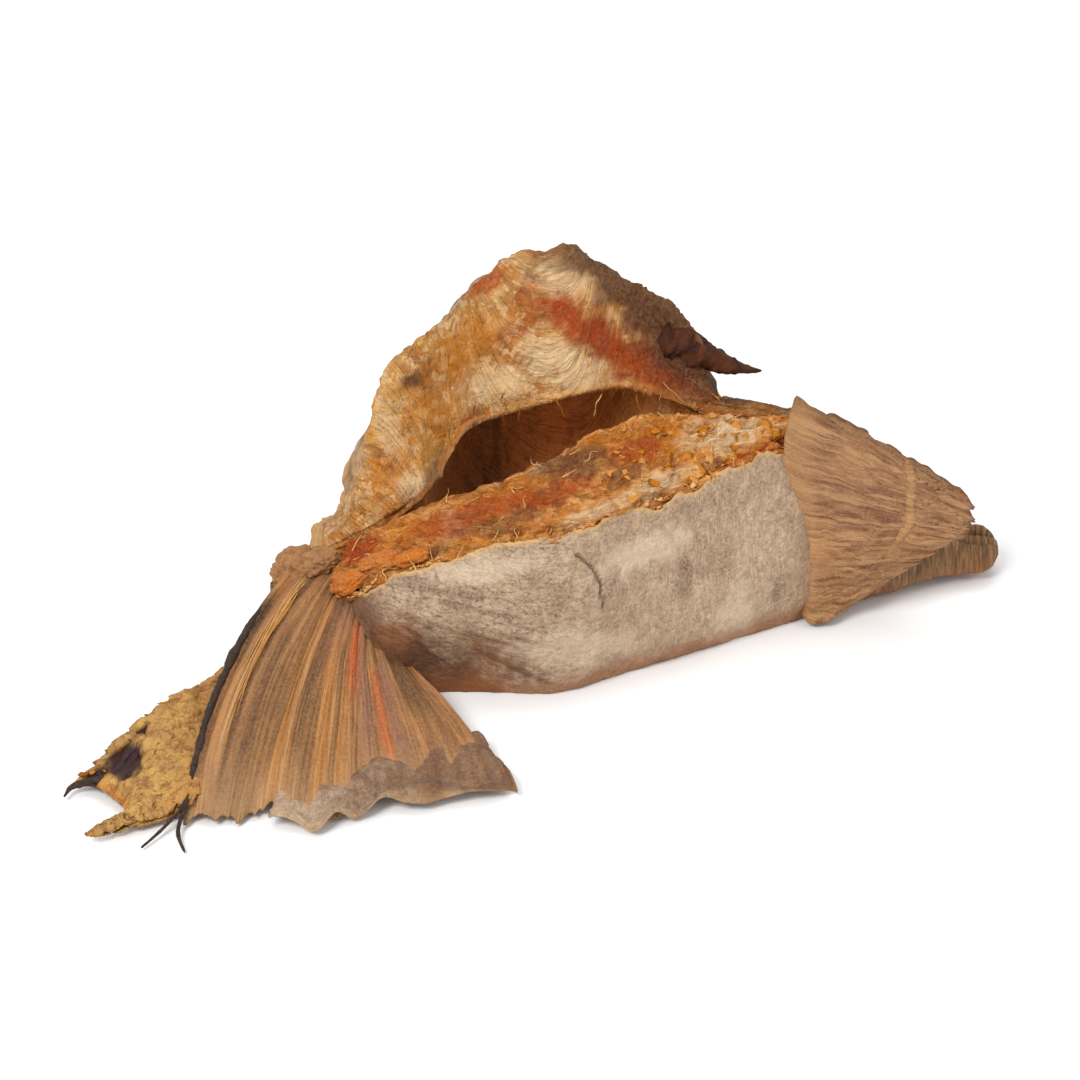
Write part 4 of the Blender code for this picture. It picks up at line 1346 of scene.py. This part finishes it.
def roughened(tree, shader, value, low, high):
    """Gives the shader a roughness from low to high, as a value goes from 0 to 1."""
    tree.links.new(stepped(tree, value, 0.0, 1.0, low, high), shader.inputs["Roughness"])


def bumped(tree, shader, height, strength, distance):
    """Gives the shader a normal from a height."""
    inputs = {"Height": height, "Strength": strength, "Distance": distance}
    tree.links.new(add_node(tree, "Bump", inputs).outputs["Normal"], shader.inputs["Normal"])


print("groups:", grain.name, drawn_fibres.name)

# %% [markdown]
# ## The finish of the meat
#
# Dried meat is amber where it is thin and oily, red-brown where it is thick, and tan where it has
# flaked. The mix starts from broad patches and crisp clots, adds fibres along the piece, and then takes
# up the spots that the mesh carries. The grooves between raised ledges get a painted shade, and the
# hollow gets a bright painted light with painted shade in its left corner. The dark and orange spots
# mirror less light.

# %% Meat finish


def meat_finish():
    material, tree, shader = new_finish("dried_meat", gloss=0.3)
    place, surface = object_place(tree), mark(tree, "lay", "Vector")
    dots = grained(tree, place, 150.0, 1100.0)
    broad = grained(tree, place, 60.0, 420.0)
    lines = fibred(tree, surface, 70.0, 900.0, 0.004)
    flap, ledge = mark(tree, "flap"), mark(tree, "ledge")
    meat = between(tree, broad["Patches"], (124, 48, 16), (212, 124, 46))
    meat = painted(tree, meat, dots["Patches"], 0.5, (230, 172, 104))
    inner = between(tree, broad["Patches"], (148, 86, 32), (214, 160, 90))
    inner = painted(tree, inner, dots["Patches"], 0.5, (234, 200, 148))
    clots = grained(tree, place, 260.0, 330.0)
    meat = painted(tree, meat, stepped(tree, clots["Patches"], 0.5, 0.68), 0.6, (150, 62, 18))
    meat = painted(tree, meat, stepped(tree, clots["Speckle"], 0.6, 0.75), 0.6, (232, 178, 112))
    inner = painted(tree, inner, stepped(tree, clots["Patches"], 0.55, 0.72), 0.5, (184, 108, 34))
    inner = painted(tree, inner, stepped(tree, clots["Speckle"], 0.6, 0.75), 0.55, (238, 208, 160))
    colour = mixed(tree, flap, meat, inner)
    colour = layered(tree, colour, [
        (lines["Fibres"], 0.3, (206, 150, 86)),
        (mark(tree, "amber"), 0.7, (188, 112, 34)),
        (mark(tree, "pale"), 0.75, (226, 200, 160)),
        (mark(tree, "orange"), 0.94, (150, 42, 3)),
        # Painted light: the hollow mark paints a bright tan that stands in for light reaching into the
        # hollow.
        (mark(tree, "hollow"), 0.95, (250, 172, 108)),
        (mark(tree, "dark"), 0.95, (62, 24, 9)),
    ])
    # Painted shade in the grooves between raised ledges, where the ledge mark is low.
    painted_valley_shade = stepped(tree, ledge, 0.35, 0.75, 0.6, 0.0)
    colour = mixed(tree, painted_valley_shade, colour, seen_colour(84, 38, 16))
    colour = layered(tree, colour, [
        (lines["Gaps"], 0.45, (84, 40, 18)),
        (broad["Speckle"], 0.18, (112, 56, 24)),
        (dots["Speckle"], 0.1, (232, 196, 144)),
    ])
    coloured(tree, shader, colour, 1.07)
    calm = worked(tree, "MAXIMUM", mark(tree, "dark"), mark(tree, "orange"))
    rough = stepped(tree, dots["Patches"], 0.0, 1.0, 0.24, 0.55)
    rough = worked(tree, "ADD", rough, worked(tree, "MULTIPLY", calm, 0.35))
    tree.links.new(rough, shader.inputs["Roughness"])
    height = worked(tree, "ADD", worked(tree, "ADD", lines["Fibres"], dots["Speckle"]), broad["Speckle"])
    bumped(tree, shader, height, 0.6, 0.0005)
    return material


meat_finish_made = meat_finish()
meat_body.data.materials.append(meat_finish_made)

# %% [markdown]
# ## The finish of the skin
#
# The skin without its scales is a warm grey, with a fine web of darker wrinkles on the left and upright
# strokes on the right. It turns golden at the torn rim and darker on the tail. Its brown in the deep fold
# is partly its own colour and partly painted shade, painted shade also darkens the band's left end, and
# near the table it takes a brown painted shade.

# %% Skin finish


def skin_finish():
    material, tree, shader = new_finish("grey_skin")
    place, surface = object_place(tree), mark(tree, "lay", "Vector")
    dots = grained(tree, place, 130.0, 1500.0)
    broad = grained(tree, place, 38.0, 600.0)
    web = fibred(tree, surface, 300.0, 900.0, 0.003)
    strokes = fibred(tree, surface, 1500.0, 170.0, 0.001)
    stain = fibred(tree, surface, 130.0, 34.0, 0.006)
    left = mark(tree, "left")
    right = worked(tree, "SUBTRACT", 1.0, left)
    colour = between(tree, broad["Patches"], (140, 112, 88), (196, 168, 142))
    colour = layered(tree, colour, [
        (dots["Patches"], 0.5, (204, 178, 152)),
        (broad["Speckle"], 0.5, (112, 84, 62)),
        (stain["Fibres"], 0.55, (148, 120, 94)),
        (stain["Gaps"], 0.12, (232, 212, 186)),
        (web["Gaps"], stepped(tree, left, 0, 1, 0.2, 0.75), (92, 68, 50)),
        (strokes["Gaps"], worked(tree, "MULTIPLY", right, 0.5), (110, 84, 62)),
        (mark(tree, "pale"), 0.6, (218, 198, 172)),
        (mark(tree, "dark"), 0.7, (88, 60, 42)),
        (dots["Speckle"], 0.3, (224, 202, 176)),
    ])
    brown = between(tree, dots["Patches"], (66, 30, 14), (118, 70, 38))
    # The brown mark: the skin's own brown, and on the front band also painted shade in the deep fold and at
    # its left end.
    colour = mixed(tree, worked(tree, "MULTIPLY", mark(tree, "brown"), 0.85), colour, brown)
    tail = between(tree, strokes["Fibres"], (70, 44, 28), (156, 116, 78))
    colour = mixed(tree, worked(tree, "MULTIPLY", mark(tree, "tail"), 0.85), colour, tail)
    colour = layered(tree, colour, [
        # Painted shade near the table, from the low mark.
        (mark(tree, "low"), 0.55, (150, 92, 56)),
        (mark(tree, "rim"), 0.7, (214, 170, 112)),
    ])
    colour = mixed(tree, mark(tree, "crack"), colour, seen_colour(54, 34, 24))
    coloured(tree, shader, colour, 1.05)
    roughened(tree, shader, dots["Patches"], 0.68, 0.86)
    height = worked(tree, "SUBTRACT", dots["Speckle"], web["Gaps"])
    bumped(tree, shader, height, 0.5, 0.0004)
    return material


skin_finish_made = skin_finish()
for skin in (front_skin, rear_skin):
    skin.data.materials.append(skin_finish_made)

# %% [markdown]
# ## The finish of the fins
#
# A dry fin is brown and golden, and its rays are paler than the membrane between them. Stripes of
# orange, pink and gold follow the rays, and the front edge is nearly black.

# %% Fin finishes


def fan_finish():
    material, tree, shader = new_finish("fin_rays")
    place, surface = object_place(tree), mark(tree, "lay", "Vector")
    dots = grained(tree, place, 170.0, 1300.0)
    broad = grained(tree, place, 60.0, 500.0)
    lines = fibred(tree, surface, 3200.0, 250.0, 0.0002)
    streaks = fibred(tree, surface, 520.0, 160.0, 0.0005)
    colour = between(tree, lines["Fibres"], (92, 50, 26), (178, 122, 70))
    colour = layered(tree, colour, [
        (streaks["Fibres"], 0.7, (98, 60, 40)),
        (dots["Patches"], 0.35, (184, 130, 72)),
        (broad["Patches"], 0.4, (140, 84, 44)),
        (mark(tree, "ray"), 0.3, (190, 140, 86)),
        (mark(tree, "gold"), 0.6, (190, 124, 50)),
        (mark(tree, "pink"), 0.75, (138, 94, 78)),
        (mark(tree, "orange"), 0.85, (184, 74, 14)),
        (mark(tree, "dark"), 0.9, (44, 28, 20)),
        (mark(tree, "pale"), 0.8, (206, 168, 118)),
        (lines["Gaps"], 0.4, (92, 56, 32)),
        (mark(tree, "tip"), 0.3, (196, 158, 112)),
        (dots["Speckle"], 0.15, (220, 180, 128)),
    ])
    coloured(tree, shader, colour, 0.98)
    roughened(tree, shader, dots["Patches"], 0.5, 0.72)
    bumped(tree, shader, worked(tree, "ADD", lines["Fibres"], dots["Speckle"]), 0.5, 0.0004)
    return material


def wedge_finish():
    material, tree, shader = new_finish("folded_fin")
    place, surface = object_place(tree), mark(tree, "lay", "Vector")
    dots = grained(tree, place, 150.0, 1300.0)
    lines = fibred(tree, surface, 32.0, 1900.0, 0.001)
    pale_lines = fibred(tree, surface, 16.0, 520.0, 0.002)
    broad = grained(tree, place, 60.0, 500.0)
    low = between(tree, broad["Patches"], (98, 54, 26), (156, 102, 56))
    high = between(tree, broad["Patches"], (96, 56, 42), (144, 98, 78))
    colour = mixed(tree, mark(tree, "top"), low, high)
    colour = layered(tree, colour, [
        (pale_lines["Fibres"], 0.35, (96, 58, 38)),
        (lines["Fibres"], 0.45, (154, 102, 64)),
        (lines["Gaps"], 0.4, (78, 44, 28)),
        (pale_lines["Gaps"], 0.42, (200, 156, 108)),
        (mark(tree, "stripe"), 0.35, (190, 144, 98)),
        (mark(tree, "golden"), 0.6, (184, 140, 88)),
        (mark(tree, "edge"), 0.7, (96, 62, 36)),
        (dots["Speckle"], 0.15, (216, 176, 130)),
    ])
    coloured(tree, shader, colour, 1.0)
    roughened(tree, shader, dots["Patches"], 0.6, 0.8)
    bumped(tree, shader, worked(tree, "ADD", lines["Fibres"], dots["Speckle"]), 0.5, 0.0004)
    return material


left_fin.data.materials.append(fan_finish())
right_fin.data.materials.append(wedge_finish())

# %% [markdown]
# ## The finish of bone and spines
#
# Bone is ochre and slightly glossy, with maroon pits. The ray tips and the prong are almost black, with
# a faint grey bloom, and the flap's spine is dark brown.

# %% Bone and spine finishes


def bone_finish():
    material, tree, shader = new_finish("old_bone", gloss=0.4)
    place = object_place(tree)
    dots = grained(tree, place, 190.0, 1200.0)
    broad = grained(tree, place, 85.0, 500.0)
    veins = fibred(tree, place, 260.0, 260.0, 0.004)
    colour = between(tree, dots["Patches"], (112, 64, 26), (192, 148, 88))
    colour = layered(tree, colour, [
        (broad["Patches"], 0.6, (96, 46, 16)),
        (mark(tree, "near"), 0.7, (136, 66, 20)),
        (mark(tree, "ridge"), 0.35, (214, 176, 110)),
        (mark(tree, "tip"), 0.6, (190, 116, 52)),
        (veins["Gaps"], 0.6, (104, 50, 16)),
        (dots["Speckle"], 0.15, (224, 186, 122)),
    ])
    colour = mixed(tree, mark(tree, "pit"), colour, seen_colour(40, 6, 4))
    coloured(tree, shader, colour, 1.08)
    roughened(tree, shader, dots["Patches"], 0.42, 0.62)
    bumped(tree, shader, dots["Speckle"], 0.4, 0.0004)
    return material


def spine_finish():
    material, tree, shader = new_finish("dark_spine")
    place = object_place(tree)
    dots = grained(tree, place, 260.0, 1500.0)
    colour = between(tree, dots["Patches"], (22, 17, 15), (58, 42, 32))
    colour = painted(tree, colour, dots["Speckle"], 0.2, (120, 104, 92))
    brown = between(tree, dots["Patches"], (44, 20, 9), (88, 44, 20))
    colour = mixed(tree, mark(tree, "tint"), colour, brown)
    coloured(tree, shader, colour, 1.0)
    roughened(tree, shader, dots["Patches"], 0.5, 0.75)
    bumped(tree, shader, dots["Speckle"], 0.5, 0.0004)
    return material


def gristle_finish():
    material, tree, shader = new_finish("dry_gristle")
    place = object_place(tree)
    dots = grained(tree, place, 260.0, 1500.0)
    colour = between(tree, dots["Patches"], (124, 78, 44), (172, 134, 98))
    colour = layered(tree, colour, [
        (mark(tree, "orange"), 0.7, (204, 108, 36)),
        (dots["Patches"], 0.5, (128, 70, 34)),
        (dots["Speckle"], 0.2, (230, 198, 154)),
    ])
    coloured(tree, shader, colour, 1.08)
    roughened(tree, shader, dots["Patches"], 0.45, 0.7)
    bumped(tree, shader, dots["Speckle"], 0.5, 0.0004)
    return material


def scrap_finish():
    material, tree, shader = new_finish("dry_scraps")
    place, tint = object_place(tree), mark(tree, "tint")
    dots = grained(tree, place, 400.0, 1800.0)
    colour = between(tree, stepped(tree, tint, 0.0, 0.5), (112, 58, 26), (190, 126, 66))
    colour = mixed(tree, stepped(tree, tint, 0.4, 0.9), colour, seen_colour(222, 184, 132))
    colour = painted(tree, colour, dots["Patches"], 0.3, (156, 96, 48))
    coloured(tree, shader, colour, 1.1)
    roughened(tree, shader, dots["Speckle"], 0.45, 0.75)
    return material


bone_plate.data.materials.append(bone_finish())
spine_finish_made = spine_finish()
for made in spines:
    made.data.materials.append(spine_finish_made)
gristle_knobs.data.materials.append(gristle_finish())
skin_lobe.data.materials.append(skin_finish_made)
fin_seam.data.materials.append(right_fin.data.materials[0])
scrap_finish_made = scrap_finish()
for made in (dry_flakes, stray_fibres):
    made.data.materials.append(scrap_finish_made)

# %% [markdown]
# ## Riding on the frame
#
# Every piece has to belong to the one body of the solid. The meat body stands for the solid itself,
# which is then hidden.

# %% Tie the pieces to the solid
all_pieces = [meat_body, front_skin, rear_skin, left_fin, right_fin, bone_plate, *spines]
all_pieces += [gristle_knobs, skin_lobe, fin_seam, dry_flakes, stray_fibres]
for piece in all_pieces:
    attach(piece, "root")
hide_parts("stockfish")
print(len(all_pieces), "pieces ride on the solid")

# %% [markdown]
# ## Floor, light and camera
#
# A plain pale floor and large soft lights keep the eye on the fish. The camera looks down by 32
# degrees with a long lens, so that lines stay nearly parallel.

# %% Floor
FLOOR_BRIGHTNESS = 0.93
floor_mesh = bmesh.new()
bmesh.ops.create_grid(floor_mesh, x_segments=2, y_segments=2, size=4.0)
floor = finished("floor", floor_mesh)
floor_material, floor_tree, floor_shader = new_finish("pale_floor")
floor_shader.inputs["Base Color"].default_value = (*[FLOOR_BRIGHTNESS] * 3, 1)
floor_shader.inputs["Roughness"].default_value = 0.9
floor.data.materials.append(floor_material)

# %% Lights


def soft_light(name, place, size, power, aim=(0, 0, 0.03)):
    """A square area light that points at the fish."""
    lamp = bpy.data.lights.new(name, "AREA")
    lamp.size = size
    lamp.energy = power
    made = bpy.data.objects.new(name, lamp)
    made.location = place
    made.rotation_mode = "QUATERNION"
    made.rotation_quaternion = (Vector(aim) - Vector(place)).to_track_quat("-Z", "Y")
    bpy.context.scene.collection.objects.link(made)
    return made


WORLD_STRENGTH = 0.62
lights = [
    soft_light("key", (-0.5, -0.8, 1.0), 0.45, 12.0),
    soft_light("fill", (0.9, -0.6, 0.7), 0.9, 3.0),
    soft_light("top", (0.1, 0.6, 1.3), 1.0, 6.0),
]
world = bpy.data.worlds.new("studio")
bpy.context.scene.world = world
world.use_nodes = True
background = world.node_tree.nodes["Background"]
background.inputs["Color"].default_value = (1, 1, 1, 1)
background.inputs["Strength"].default_value = WORLD_STRENGTH
bpy.context.scene.view_settings.view_transform = "Standard"
print(len(lights), "soft lights")

# %% Camera
CAMERA_DISTANCE = 1.2
HALF_WIDTH_SEEN = 0.1218
SENSOR = 36.0
AIM_HEIGHT = 37 / math.cos(VIEW_TILT)
camera = bpy.data.objects.new("camera", bpy.data.cameras.new("camera"))
camera.data.sensor_width = SENSOR
camera.data.lens = SENSOR / 2 * CAMERA_DISTANCE / HALF_WIDTH_SEEN
camera.data.clip_end = 50.0
aim = Vector(to_metres((0, 0, AIM_HEIGHT)))
backwards = Vector((0, -math.cos(VIEW_TILT), math.sin(VIEW_TILT)))
camera.location = aim + backwards * CAMERA_DISTANCE
camera.rotation_mode = "QUATERNION"
camera.rotation_quaternion = (-backwards).to_track_quat("-Z", "Y")
bpy.context.scene.collection.objects.link(camera)
bpy.context.scene.camera = camera
print("the lens is", round(camera.data.lens, 1), "mm")

# %% The end of the lesson
bpy.context.view_layer.update()
